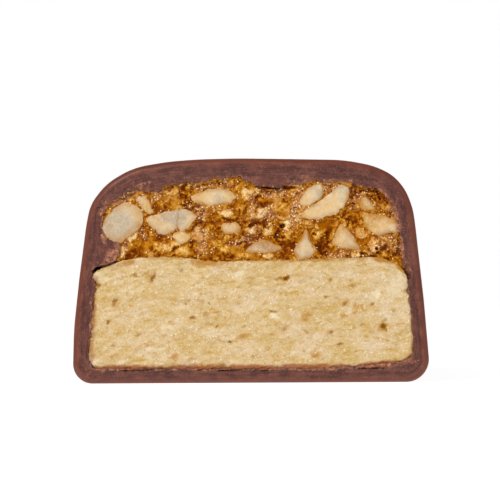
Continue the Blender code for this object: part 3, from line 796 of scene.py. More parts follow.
# Each place is (x, z, half width, half height, turn in degrees, strength)
PORES = [
    (-8.45, 9.15, 0.26, 0.46, -15, 1.0), (-8.75, 9.35, 0.2, 0.12, 0, 0.6), (-10.0, 9.4, 0.2, 0.14, 0, 0.6),
    (-11.75, 7.1, 0.32, 0.14, 10, 0.8), (-11.95, 7.0, 0.16, 0.16, 0, 0.6), (-12.5, 5.4, 0.18, 0.13, 0, 0.9),
    (-13.2, 8.55, 0.24, 0.14, -20, 0.9), (3.05, 9.15, 0.3, 0.15, 12, 1.5), (2.6, 9.0, 0.35, 0.16, 10, 0.5),
    (11.5, 4.7, 0.3, 0.28, 0, 1.2), (10.45, 6.7, 0.2, 0.13, 0, 0.8), (6.9, 4.3, 0.18, 0.16, 0, 0.7),
    (7.75, 3.33, 0.2, 0.12, 0, 0.8), (9.05, 2.65, 0.14, 0.1, 0, 0.6), (6.9, 8.9, 0.2, 0.14, 0, 0.6),
    (6.45, 7.45, 0.12, 0.14, 0, 0.7), (8.9, 8.4, 0.35, 0.1, 5, 0.5), (8.2, 6.8, 0.3, 0.09, 40, 0.6),
    (-5.05, 5.55, 0.3, 0.13, 5, 0.8), (-3.85, 6.0, 0.24, 0.2, 0, 0.4), (-3.07, 4.97, 0.12, 0.14, 0, 0.8),
    (-1.85, 3.5, 0.15, 0.08, 0, 1.0), (-5.65, 6.95, 0.1, 0.09, 0, 0.8), (-3.6, 7.0, 0.14, 0.1, 0, 0.6),
    (1.95, 6.1, 0.42, 0.09, 5, 0.7), (4.7, 4.45, 0.3, 0.09, 0, 0.5), (-9.8, 4.1, 0.25, 0.12, 10, 0.4),
]
WARM_FLECKS = [
    (-6.6, 2.2, 0.5, 0.32, 10, 0.8), (-9.3, 3.2, 0.9, 0.22, 15, 0.5), (-0.75, 4.1, 0.62, 0.3, 20, 0.8),
    (9.35, 6.45, 0.5, 0.3, 5, 0.9), (4.86, 5.77, 0.5, 0.35, 20, 0.55), (5.6, 2.4, 0.42, 0.32, 20, 0.95),
    (0.2, 2.4, 0.35, 0.2, 0, 0.6), (8.0, 5.8, 0.3, 0.2, 0, 0.5), (-8.6, 8.9, 0.3, 0.4, -15, 0.5),
    (-11.7, 7.0, 0.4, 0.3, 0, 0.4), (2.5, 8.95, 0.45, 0.25, 10, 0.55), (-2.6, 7.3, 0.4, 0.15, 25, 0.5),
    (-4.4, 7.05, 0.35, 0.2, 0, 0.45), (0.0, 9.0, 0.3, 0.2, 0, 0.5), (10.45, 6.7, 0.3, 0.2, 0, 0.6),
    (6.8, 4.4, 0.3, 0.2, 0, 0.6), (2.8, 4.7, 0.7, 0.5, 0, 0.25), (-3.9, 5.9, 0.5, 0.3, 0, 0.25),
    (-11.9, 2.4, 0.8, 0.2, 10, 0.25), (4.6, 9.4, 0.7, 0.3, 10, 0.3), (8.6, 8.3, 0.6, 0.25, 10, 0.3),
]
CREAM_LUMPS = [
    (10.8, 7.6, 0.6, 0.3, 0, 0.7), (1.95, 5.7, 0.45, 0.2, 0, 0.8), (3.6, 2.6, 0.4, 0.35, 0, 0.6),
    (-12.9, 9.3, 0.6, 0.4, 0, 0.5), (-1.0, 9.5, 0.5, 0.3, -10, 0.5), (-9.9, 8.2, 0.7, 0.3, 0, 0.3),
    (-7.3, 4.9, 0.8, 0.3, 0, 0.3), (12.6, 8.3, 0.8, 0.8, 0, 0.3), (-8.3, 2.9, 1.2, 0.12, -5, 0.4),
]
# Caramel that soaked into the top of the dough
HONEY = [
    (-11.6, 10.15, 0.8, 0.3, 20, 0.4), (-10.6, 10.5, 0.6, 0.36, 15, 0.7), (-3.6, 10.5, 1.7, 0.45, 0, 0.85),
    (-7.0, 10.85, 2.2, 0.16, 0, 0.5), (3.5, 10.72, 5.0, 0.24, 0, 0.8), (8.4, 10.8, 2.4, 0.2, 0, 0.6),
    (11.6, 10.55, 1.6, 0.26, -14, 0.9), (13.0, 10.0, 0.8, 0.28, -45, 0.9), (-12.8, 9.6, 0.3, 0.3, 0, 0.2),
]
# Chocolate dragged over the edges of the dough by the knife; the strip at (-13.7, 6.3) is partly painted
# shade where the dough's left edge falls back
SMEARS = [
    (-13.7, 6.3, 0.3, 2.4, 0, 0.8), (-13.9, 2.9, 0.35, 1.3, 0, 0.6), (-11.0, 1.38, 3.2, 0.26, 0, 0.9),
    (-5.0, 1.36, 3.6, 0.3, 0, 0.9), (0.0, 1.36, 3.0, 0.26, 0, 0.9), (5.5, 1.38, 4.4, 0.28, 0, 0.9),
    (11.2, 1.62, 2.3, 0.24, 5, 0.9), (13.9, 2.2, 0.5, 0.3, 45, 0.8), (14.1, 3.3, 0.25, 1.2, 0, 0.7),
    (13.75, 9.2, 0.25, 0.9, 10, 0.6), (14.0, 6.0, 0.16, 2.5, 2, 0.5), (-13.5, 8.7, 0.3, 0.7, 0, 0.6),
]
# How far behind the cut the rings of a filling lie: face, all the points, half and a quarter of them
DOUGH_STEPS = (0.34, 0.9, 1.6, 3.0)
CARAMEL_STEPS = (0.8, 1.6, 2.2, 3.0)


def filling_block(skin, face_ring, ring, sides, steps):
    """Block of filling: a fine grid at the cut on a coarser body; gives back the grid's numbers."""
    edge = skin.add(at_y(face_ring, CUT + steps[0]))
    grid = skin.grid(edge, sides)
    back = skin.add(at_y(ring, CUT + steps[1]))
    skin.join(back, edge)
    half = skin.add(at_y(ring[::2], CUT + steps[2]))
    skin.halve(back, half)
    quarter = skin.add(at_y(ring[::4], CUT + steps[3]))
    skin.halve(half, quarter)
    skin.fan(skin.run(quarter, end_rings(ring[::4], FILLING_END, FILLING_END_ROWS)))
    return grid


# Foremost place of the dough's face behind the cut, and how far its edges fall back over how much width
DOUGH_FRONT = 0.15
DOUGH_FALL, DOUGH_FALL_WIDTH = 0.1, 0.3


def make_dough(material):
    """Pale block with a cut face: fine crumb relief, pores, and edges that fall back."""
    ring = section_ring(smooth_line(DOUGH_LINE), DOUGH_SIDES)
    tuck = 0.12 * layered(at_y(ring, 0.0), 0.5, 3, SEED + 40) * eased(1.2, 3.0, ring[:, 1])
    face_ring = ring + outward(ring) * (tuck + 0.1)[:, None]
    skin = Skin()
    filling_block(skin, face_ring, ring, DOUGH_SIDES, DOUGH_STEPS)
    points = np.concatenate(skin.points)
    face = points[:, 1] < CUT + DOUGH_STEPS[0] + FACE_SLACK
    flat = points[face][:, [0, 2]]
    seat = at_y(flat, 0.0)
    tilt = np.stack([seat[:, 0] * 0.96 + seat[:, 2] * 0.28, seat[:, 1],
                     seat[:, 2] * 0.96 - seat[:, 0] * 0.28], -1)
    creases = layered(tilt * (0.42, 1, 1.25), 0.8, 4, SEED + 41, 0.65)
    near, mark = grains(tilt * (0.7, 1, 1.1), 0.42, SEED + 42)
    fine = layered(seat, 0.3, 3, SEED + 44, 0.65)
    relief = 0.2 * creases - 0.09 * (1 - near) * mark + 0.04 * layered(seat, 3.0, 2, SEED + 43) + 0.05 * fine
    drift = np.stack([layered(seat, 0.5, 3, seed) for seed in (SEED + 47, SEED + 48)], -1)
    bent = flat + 0.25 * drift
    pores = patches(bent, PORES, 0.3 * fine)
    near, mark = grains(tilt * (0.6, 1, 1.2), 1.0, SEED + 45)
    chosen = (mark > 0.45) * (1 - eased(0.04, 0.22, near + 0.12 * fine))
    relief = relief + 0.06 * pores + 0.02 * chosen
    fall = DOUGH_FALL * (1 - eased(0.0, DOUGH_FALL_WIDTH, -line_distance(flat, face_ring[::3]))) ** 1.5
    points[face, 1] = np.maximum(CUT + DOUGH_FRONT + relief + fall, CUT + FACE_SLACK)
    skin.points = [points]
    ragged = layered(seat, 0.5, 4, SEED + 46, 0.65)
    # Painted light: the warm ring round each pore stands for light that glows through the dough round the
    # hole.
    around = patches(bent, PORES, 0.3 * fine - 0.5)
    skin.mark(face, pit=np.maximum(pores, 0.5 * chosen), cream=patches(bent, CREAM_LUMPS, 1.2 * ragged),
              warm=np.maximum(patches(bent, WARM_FLECKS, 0.5 * ragged), 0.6 * around),
              honey=patches(flat, HONEY, 0.6 * ragged), smear=patches(flat, SMEARS, 0.5 * ragged))
    return skin.build("dough_layer", material)


# ---- nuts ----

# Nut pieces.  front: how far back the middle lies; bulge: how far the edge falls back; yellow: how
# yellow the flesh is; lean: the way (x, z) in which it gets yellower and darker, partly its own
# yellow and partly painted shade on the side turned from the light; rim, reach: strength and width
# of the darker edge, partly caramel showing through and partly painted shade where the face rounds
# away; loose: how ragged the outline is; cloud, cloudy: brown clouds and uneven yellow; line: outline
# at the cut as (x, z)
NUTS = {
    "nut_large": dict(
        front=0.05, bulge=0.3, yellow=0.05, lean=(0.1, 0.1), rim=0.55, reach=1.1, loose=0.1, cloud=0.2,
        cloudy=0.2,
        line=[(-12.83, 13.3), (-12.7, 14.0), (-12.42, 14.7), (-12.05, 15.22), (-11.4, 15.58), (-10.6, 15.7),
              (-9.95, 15.42), (-9.5, 14.95), (-9.3, 14.3), (-9.5, 13.65), (-10.15, 13.0), (-10.85, 12.5),
              (-11.35, 12.2), (-12.0, 12.35), (-12.5, 12.7)]),
    "nut_chip_left": dict(
        front=0.12, bulge=0.25, yellow=0.48, lean=(0.0, -0.1), cloud=0.3,
        line=[(-10.05, 16.0), (-9.7, 16.45), (-9.0, 16.45), (-8.6, 15.7), (-8.3, 14.9), (-8.7, 14.6),
              (-9.4, 15.0)]),
    "nut_split_left": dict(
        front=0.1, bulge=0.3, yellow=0.12, lean=(-0.15, 0.0), rim=0.3, cloud=0.6,
        line=[(-9.0, 14.25), (-8.2, 14.6), (-7.3, 14.88), (-6.5, 15.05), (-6.15, 14.9), (-6.2, 13.5),
              (-7.2, 12.85), (-8.0, 12.9), (-8.6, 13.5)]),
    "nut_split_right": dict(
        front=0.13, bulge=0.25, yellow=0.08, lean=(0.2, -0.1), rim=0.3, cloud=0.3,
        line=[(-6.25, 14.95), (-5.6, 15.05), (-5.0, 14.75), (-4.62, 14.45), (-5.05, 13.95), (-5.5, 13.4),
              (-5.95, 13.1), (-6.25, 13.5)]),
    "nut_lens_top": dict(
        front=0.12, bulge=0.35, yellow=0.35, lean=(-0.1, 0.1), rim=0.6, cloud=0.3,
        line=[(-5.15, 16.0), (-4.55, 16.5), (-3.9, 16.8), (-2.9, 16.9), (-2.0, 16.78), (-1.35, 16.3),
              (-1.4, 15.8), (-2.0, 15.45), (-3.2, 15.33), (-4.0, 15.45), (-4.7, 15.7)]),
    "nut_bit_left": dict(
        front=0.08, bulge=0.25, yellow=0.4, lean=(0.0, 0.0), rim=0.4, reach=0.3, loose=0.14, cloud=0.2,
        line=[(-6.75, 12.7), (-6.45, 13.1), (-5.8, 13.2), (-5.15, 12.85), (-5.4, 12.35), (-6.1, 12.15)]),
    "nut_bit_middle": dict(
        front=0.25, bulge=0.25, yellow=0.45, lean=(0.2, 0.0), rim=0.7, loose=0.25,
        line=[(-2.5, 13.4), (-2.2, 13.8), (-1.6, 13.85), (-1.2, 13.98), (-0.85, 13.4), (-1.3, 12.95),
              (-2.1, 13.02)]),
    "nut_lens_low": dict(
        front=0.2, bulge=0.3, yellow=0.25, lean=(0.3, -0.2), cloud=1.0,
        line=[(-0.6, 11.4), (0.1, 12.05), (1.0, 12.4), (1.75, 12.3), (2.3, 12.0), (2.8, 11.6), (2.0, 11.25),
              (0.6, 11.15)]),
    "nut_sliver_short": dict(
        front=0.2, bulge=0.25, yellow=0.2, lean=(-0.1, -0.15), rim=0.4, loose=0.1, cloud=0.3,
        line=[(4.15, 15.6), (4.45, 16.2), (4.95, 16.8), (5.5, 17.2), (6.05, 17.32), (6.35, 17.0),
              (6.45, 16.55), (6.25, 16.05), (5.8, 15.55), (5.2, 15.15), (4.6, 15.2)]),
    "nut_sliver_long": dict(
        front=0.03, bulge=0.3, yellow=0.3, lean=(-0.1, -0.1), rim=0.55, cloud=0.1, cloudy=0.25,
        line=[(4.4, 14.45), (4.9, 15.05), (5.6, 15.52), (6.2, 15.82), (6.8, 16.3), (7.25, 16.75),
              (7.7, 17.03), (8.35, 17.05), (8.6, 16.6), (8.5, 15.8), (7.95, 15.1), (7.3, 14.6), (6.4, 14.3),
              (5.3, 14.12)]),
    "nut_wedge_left": dict(
        front=0.1, bulge=0.4, yellow=0.15, lean=(0.15, -0.1), cloud=0.4,
        line=[(4.85, 13.28), (5.2, 12.7), (5.4, 12.0), (5.75, 11.3), (5.2, 10.78), (4.25, 10.72),
              (3.72, 11.4), (4.1, 12.0), (4.45, 12.65)]),
    "nut_wedge_right": dict(
        front=0.15, bulge=0.35, yellow=0.36, lean=(-0.3, 0.3), reach=0.8, cloud=0.45,
        line=[(7.75, 13.8), (8.65, 13.2), (9.25, 12.4), (9.65, 11.5), (8.3, 11.5), (6.95, 11.95),
              (7.2, 12.8)]),
    "nut_chip_right": dict(
        front=0.25, bulge=0.25, yellow=0.55, lean=(0.0, 0.0),
        line=[(9.6, 16.0), (10.1, 16.1), (10.9, 15.0), (10.4, 14.9), (9.65, 15.15)]),
    "nut_right": dict(
        front=0.12, bulge=0.35, yellow=0.45, lean=(-0.5, 0.15), rim=0.7, reach=0.9, cloud=0.25, cloudy=0.7,
        line=[(9.65, 14.3), (10.1, 14.65), (11.0, 14.6), (12.0, 14.3), (12.95, 14.0), (13.05, 13.4),
              (12.9, 12.95), (11.9, 12.85), (11.2, 12.6), (10.4, 12.8), (9.8, 13.4)]),
}
# What a piece has where its own entry says nothing else
NUT_USUAL = dict(rim=0.8, reach=0.55, loose=0.2, cloud=0.5, cloudy=0.4)
NUT_DEPTH = 2.6
# Rings of the face, as shares of the outline
NUT_SHARES = (0.06, 0.14, 0.24, 0.35, 0.46, 0.57, 0.67, 0.76, 0.84, 0.9, 0.945, 0.975, 0.993, 1.0)
# Rings of the body behind the face: (share of the outline, distance back)
NUT_BODY = ((0.99, 0.9), (0.93, 1.6), (0.75, 2.3), (0.4, NUT_DEPTH))
# Points round a piece: their usual spacing, and the fewest and the most
NUT_SPACING = 0.07
NUT_POINTS = (48, 160)


def make_nut(name, entry, material):
    """Piece of nut: a low crowned face at the cut and a blunt body behind it."""
    shape = {**NUT_USUAL, **entry}
    line = smooth_line(shape["line"], 10)
    along = length_along(line)
    count = int(np.clip(along[-1] / NUT_SPACING, *NUT_POINTS) // 4 * 4)
    wanted = along[-1] * np.arange(count) / count
    ring = np.stack([np.interp(wanted, along, line[:, k]) for k in (0, 1)], -1)
    middle = ring.mean(0)
    number = sorted(NUTS).index(name)
    front = CUT + shape["front"]
    skin = Skin("edge", "yellow", "cloud")
    rings = []
    for share in NUT_SHARES:
        flat = middle + (ring - middle) * share
        inside = eased(0.0, shape["reach"], -line_distance(flat, ring[::2]))
        rings.append(skin.add(at_y(flat, front + 0.5 * shape["bulge"] * share ** 5),
                              edge=shape["rim"] * (1 - inside) ** 1.5))
    for share, back in NUT_BODY:
        rings.append(skin.add(at_y(middle + (ring - middle) * share, front + back), edge=1.0))
    for a, b in zip(rings, rings[1:]):
        skin.join(a, b)
    skin.fan(rings[0], (middle[0], front, middle[1]))
    skin.fan(rings[-1], (middle[0], front + NUT_DEPTH + 0.1, middle[1]), edge=1.0)
    points = np.concatenate(skin.points)
    tilt = 0.16 * waves(points * (0.4, 1, 0.4) + number * 3.7, 1.0, SEED + 50)
    rough = 0.06 * layered(points, 0.5, 3, SEED + 51) + 0.012 * waves(points, 0.12, SEED + 52)
    points[:, 1] += tilt + rough
    for axis, seed in ((0, SEED + 53), (2, SEED + 54)):
        points[:, axis] += shape["loose"] * layered(points, 0.6, 4, seed, 0.7)
    points[:, 1] = np.maximum(points[:, 1], CUT + FACE_SLACK)
    skin.points = [points]
    edge = np.concatenate(skin.marks["edge"])
    edge = edge + 0.9 * layered(points, 0.7, 3, SEED + 55, 0.6) * (1 - np.abs(2 * edge - 1))
    # Painted shade: one side of each piece is made yellower and darker, partly as the nut's own yellow.
    lean = ((points[:, [0, 2]] - middle) / (np.ptp(ring, axis=0) / 2)) @ np.array(shape["lean"])
    yellow = shape["yellow"] + lean + shape["cloudy"] * layered(points, 0.9, 3, SEED + 56, 0.6)
    skin.mark(slice(None), edge=edge, yellow=yellow, cloud=shape["cloud"])
    return skin.build(name.replace("nut", "cut_nut"), material)


# ---- caramel ----

# Broken face: its proudest place behind the cut, and from there to its deepest
CARAMEL_TOP = 0.06
CARAMEL_DEPTH = 0.9
# Height, from 0 to 1, that it has where it meets the coating, and how far it sinks behind a nut
BRIM_LEVEL = 0.76
NUT_SINK = 0.6
# Tone of the caramel behind its face
CARAMEL_BEHIND = 0.2

# Smooth amber between the crisps: (x, z, half width, half height, turn in degrees, strength)
POOLS = [
    (-9.2, 11.9, 1.4, 0.65, 25, 1.0), (-8.0, 15.2, 0.9, 0.5, 0, 1.0), (-7.7, 12.6, 0.6, 0.35, 0, 1.0),
    (-1.1, 15.8, 0.5, 0.7, 0, 0.9), (-3.2, 14.0, 1.2, 0.3, 0, 0.8), (-1.5, 11.1, 2.2, 0.35, 0, 0.9),
    (0.8, 15.6, 0.9, 0.5, 0, 0.8), (3.2, 11.9, 1.0, 0.8, 0, 1.0), (6.4, 13.6, 1.2, 0.8, 0, 1.0),
    (2.7, 15.0, 0.7, 0.8, 0, 0.8), (11.3, 12.9, 0.6, 0.3, 0, 0.9), (9.3, 11.9, 0.5, 0.5, 0, 0.8),
    (8.9, 14.1, 0.8, 0.45, 0, 0.7), (-5.5, 11.2, 0.4, 0.6, 0, 0.6), (-1.6, 14.2, 1.0, 0.3, 0, 0.7),
    (10.3, 12.6, 0.9, 0.3, 0, 1.0),
]

# Deep places of the broken caramel, also painted darker as shade: (x, z, half width, half height, turn in
# degrees, depth)
HOLLOWS = [
    (-8.0, 15.1, 0.8, 0.4, -10, 0.6), (-5.6, 16.0, 0.9, 0.13, -62, 0.6), (-7.6, 12.6, 0.5, 0.25, 0, 0.4),
    (-9.8, 11.3, 1.0, 0.35, 25, 0.5), (-5.05, 13.6, 0.6, 0.12, 60, 0.6), (-8.8, 13.2, 0.4, 0.3, 0, 0.5),
    (-3.9, 14.0, 0.8, 0.25, -5, 0.45), (-1.6, 14.15, 1.1, 0.18, 0, 0.7), (-0.7, 14.4, 0.2, 0.4, 0, 0.5),
    (-5.4, 16.95, 0.55, 0.2, 0, 0.6), (-3.9, 17.15, 0.9, 0.18, 0, 0.5), (-10.6, 16.1, 0.8, 0.2, 20, 0.5),
    (-5.6, 15.4, 0.4, 0.2, 0, 0.5), (0.2, 12.5, 0.7, 0.22, 0, 0.5), (-2.9, 13.3, 0.4, 0.4, 0, 0.5),
    (7.0, 13.2, 0.35, 0.5, 0, 0.5), (9.1, 13.9, 0.5, 0.4, 0, 0.5), (10.4, 15.9, 0.4, 0.3, 0, 0.4),
    (-6.6, 11.2, 0.2, 0.4, 0, 0.3), (-5.2, 11.8, 0.25, 0.5, 0, 0.4), (-2.0, 10.9, 0.7, 0.14, 0, 0.4),
    (0.45, 16.05, 0.28, 0.3, 0, 0.5), (0.8, 15.5, 0.7, 0.35, 0, 0.6), (1.1, 13.7, 0.4, 0.25, 0, 0.7),
    (0.4, 13.75, 0.4, 0.2, 0, 0.7), (-9.1, 12.5, 0.3, 0.9, 0, 0.35), (2.5, 12.9, 0.4, 0.5, 30, 0.5),
    (3.3, 11.85, 0.7, 0.45, 0, 0.5), (6.6, 13.5, 0.8, 0.7, 0, 0.45), (5.4, 13.1, 0.2, 0.4, 0, 0.5),
    (6.2, 11.8, 0.6, 0.7, 0, 0.9), (6.7, 12.7, 0.35, 0.5, -20, 0.6), (2.95, 15.75, 0.3, 0.18, 0, 0.6),
    (8.7, 13.8, 0.7, 0.28, -15, 0.6), (9.3, 13.6, 0.45, 0.35, 0, 0.6), (-4.7, 15.0, 0.7, 0.35, 0, 0.6),
    (9.2, 15.2, 0.3, 0.3, 0, 0.5), (9.3, 16.4, 0.5, 0.4, 0, 0.6), (11.35, 16.05, 0.9, 0.22, -50, 0.7),
    (10.2, 16.5, 0.5, 0.25, 0, 0.5), (12.75, 11.8, 0.3, 1.0, 0, 0.8), (12.3, 10.9, 0.5, 0.25, 0, 0.6),
    (10.0, 11.1, 0.9, 0.2, 0, 0.6), (7.3, 11.5, 0.8, 0.2, 10, 0.4), (11.6, 11.3, 0.4, 0.4, 0, 0.6),
    (6.0, 14.1, 1.6, 0.18, 8, 0.35), (-10.4, 10.9, 0.9, 0.2, 15, 0.4), (8.7, 14.5, 0.9, 0.3, 0, 0.5),
    (-0.5, 12.1, 0.9, 0.2, 8, 0.7), (2.4, 12.35, 0.5, 0.25, -35, 0.8), (-7.4, 16.7, 0.4, 0.3, 0, 0.4),
    (1.5, 16.6, 0.5, 0.25, 0, 0.5),
]
# Straight-edged slits along the lip of the coating, listed like the deep places; their caramel is painted at
# the darkest tone, as shade in the gap
SLITS = [
    (2.3, 16.96, 1.75, 0.17, -1, 1.0), (12.85, 11.7, 0.14, 0.9, 4, 0.7), (11.6, 15.95, 0.75, 0.13, -52, 0.6),
]
# Places where it broke into sugary crumb: (x, z, half width, half height, turn in degrees, strength)
SUGAR_FIELDS = [
    (-11.2, 16.2, 1.6, 0.4, 22, 1.0), (-8.2, 16.4, 0.8, 0.4, 0, 0.8), (-3.9, 17.3, 2.3, 0.28, 3, 0.8),
    (0.1, 15.7, 0.35, 0.9, 0, 0.9), (-4.4, 15.0, 0.45, 1.0, 25, 1.0), (-4.1, 13.0, 0.8, 0.6, 0, 0.9),
    (-4.2, 11.8, 0.6, 0.5, 0, 0.9), (-0.6, 12.4, 1.1, 0.4, 20, 1.0), (0.0, 14.7, 0.45, 0.8, 0, 0.9),
    (0.2, 13.2, 0.6, 0.35, 0, 0.9), (1.4, 14.6, 0.8, 0.7, 0, 0.9), (2.2, 16.5, 1.5, 0.4, 0, 0.8),
    (4.1, 15.2, 0.6, 1.5, -10, 1.0), (4.2, 17.2, 0.8, 0.4, 0, 0.9), (7.3, 17.2, 1.3, 0.3, 0, 0.9),
    (9.3, 15.6, 0.7, 1.0, 0, 0.7), (10.9, 15.4, 0.6, 0.4, -30, 0.4), (12.3, 15.0, 0.4, 0.5, 0, 0.9),
    (7.7, 11.2, 0.9, 0.3, 0, 0.8), (-4.5, 13.3, 0.4, 0.6, 0, 1.0), (-8.4, 15.9, 0.8, 0.3, 0, 0.8),
    (10.3, 11.6, 0.7, 0.5, 0, 0.4), (12.0, 12.0, 0.9, 1.0, 0, 0.6), (-9.3, 12.9, 0.5, 0.5, 0, 0.7),
    (-11.0, 11.8, 0.35, 0.8, -10, 0.9), (6.9, 16.7, 0.3, 0.5, 40, 0.8), (-2.6, 15.2, 1.2, 0.2, 0, 0.7),
]
# Crisps: (x, z, half width, half height, turn in degrees, proud, tone, dust)
CRISPS = [
    (-6.4, 15.7, 0.75, 0.6, -20, 0.7, 0.52, 0.1), (-6.7, 16.5, 0.6, 0.35, 10, 0.6, 0.66, 0.3),
    (-2.1, 14.85, 0.75, 0.4, -15, 0.8, 0.76, 0.1), (-7.3, 11.8, 0.6, 0.65, 30, 0.8, 0.7, 0.2),
    (-5.9, 11.35, 0.6, 0.5, 0, 0.8, 0.57, 0.0), (-6.5, 12.1, 0.4, 0.35, 0, 0.6, 0.7, 0.1),
    (-8.6, 11.2, 0.5, 0.35, 10, 0.5, 0.64, 0.3), (-10.1, 12.8, 0.75, 0.25, 35, 0.7, 0.74, 0.2),
    (-11.1, 11.4, 0.3, 0.5, -10, 0.6, 0.76, 0.5), (-8.1, 11.9, 0.4, 0.4, 0, 0.5, 0.58, 0.0),
    (-0.3, 16.4, 0.5, 0.5, 0, 0.7, 0.74, 0.2), (0.4, 16.6, 0.45, 0.5, 0, 0.6, 0.76, 0.1),
    (2.4, 15.9, 0.5, 0.4, 0, 0.5, 0.64, 0.3), (2.9, 14.4, 0.5, 0.3, 10, 0.5, 0.68, 0.3),
    (-1.6, 17.4, 0.4, 0.28, 0, 0.5, 0.5, 0.0), (0.3, 14.7, 0.5, 0.4, 0, 0.5, 0.54, 0.4),
    (-3.6, 12.5, 0.6, 0.4, 0, 0.4, 0.52, 0.2), (-1.8, 11.6, 2.0, 0.42, -20, 0.8, 0.54, 0.0),
    (-4.4, 11.6, 0.5, 0.5, 0, 0.4, 0.5, 0.5), (-4.5, 12.9, 0.4, 0.8, 10, 0.6, 0.68, 0.9),
    (0.1, 13.3, 0.55, 0.35, 10, 0.6, 0.76, 0.5), (1.1, 14.8, 0.45, 0.5, 0, 0.8, 0.88, 0.2),
    (1.5, 13.2, 0.55, 0.4, 20, 0.7, 0.8, 0.4), (2.75, 15.4, 0.7, 0.5, 0, 0.6, 0.5, 0.0),
    (2.7, 14.8, 0.6, 0.55, 0, 0.5, 0.5, 0.0), (3.2, 13.7, 0.5, 0.5, 0, 0.9, 0.82, 0.1),
    (3.1, 12.8, 0.6, 0.4, 0, 0.7, 0.56, 0.1), (2.1, 16.3, 1.0, 0.32, 0, 0.4, 0.6, 0.7),
    (5.0, 13.75, 0.5, 0.3, 0, 0.5, 0.6, 0.3), (5.8, 13.4, 0.35, 0.45, 0, 0.6, 0.76, 0.0),
    (6.1, 12.9, 0.25, 0.4, -20, 0.6, 0.66, 0.0), (5.6, 12.6, 0.4, 0.3, 0, 0.5, 0.56, 0.0),
    (9.0, 15.1, 0.5, 0.3, 0, 0.3, 0.46, 0.2), (9.6, 13.0, 0.55, 0.35, -20, 0.6, 0.72, 0.6),
    (10.7, 11.9, 0.5, 0.75, 0, 0.7, 0.7, 0.4), (11.9, 12.4, 0.45, 0.35, 0, 0.4, 0.5, 0.0),
    (1.5, 11.1, 0.5, 0.2, 0, 0.7, 0.76, 0.1), (9.1, 11.1, 0.4, 0.3, 0, 0.7, 0.74, 0.2),
    (7.2, 11.1, 0.4, 0.25, 0, 0.5, 0.5, 0.3), (8.0, 11.2, 0.4, 0.3, 0, 0.4, 0.5, 0.3),
    (2.0, 15.3, 0.4, 0.4, 0, 0.4, 0.66, 0.5), (12.1, 15.1, 0.4, 0.3, 0, 0.6, 0.66, 0.7),
    (4.0, 17.0, 0.5, 0.25, 0, 0.4, 0.52, 0.6), (8.0, 17.35, 0.6, 0.2, -10, 0.5, 0.6, 0.7),
    (-8.1, 16.2, 0.5, 0.35, 0, 0.4, 0.5, 0.6), (-7.2, 16.0, 0.4, 0.3, 0, 0.3, 0.5, 0.3),
    (4.2, 14.2, 0.45, 0.3, 30, 0.4, 0.62, 0.7), (-4.1, 15.1, 0.3, 0.3, 0, 0.4, 0.56, 0.8),
    (-0.8, 15.2, 0.4, 0.5, 0, 0.4, 0.56, 0.0), (3.3, 14.8, 0.35, 0.3, 0, 0.4, 0.64, 0.4),
    (-11.3, 15.95, 1.4, 0.3, 22, 0.0, 0.24, 1.0), (-9.6, 16.7, 0.8, 0.2, 10, 0.1, 0.34, 1.2),
]
# Holes through a crisp: (x, z, radius)
CRISP_HOLES = [(2.8, 13.6, 0.24), (10.95, 11.6, 0.16)]


def make_caramel(material):
    """Rough broken face of the caramel, and the block behind it."""
    ring = section_ring(smooth_line(CARAMEL_LINE), CARAMEL_SIDES)
    skin = Skin()
    grid = filling_block(skin, ring, ring, CARAMEL_SIDES, CARAMEL_STEPS)
    points = np.concatenate(skin.points)
    high, tone, dust, grit, crumbs = broken_face(points[grid][:, [0, 2]],
                                                 (CARAMEL_SIDES[1] - 1, CARAMEL_SIDES[0] - 1))
    points[grid, 1] = CUT + CARAMEL_TOP + (1 - high) * CARAMEL_DEPTH
    skin.points = [points]
    skin.mark(grid, CARAMEL_BEHIND, tone=tone)
    skin.mark(grid, dust=dust, grit=grit, crumbs=crumbs)
    return skin.build("caramel_layer", material)


def softened(values, reach):
    """Grid of values averaged over its neighbours."""
    kernel = np.ones(2 * reach + 1) / (2 * reach + 1)
    for axis in (0, 1, 0, 1):
        wide = np.pad(values, [(reach, reach) if k == axis else (0, 0) for k in (0, 1)], mode="edge")
        values = np.apply_along_axis(lambda line: np.convolve(line, kernel, "valid"), axis, wide)
    return values


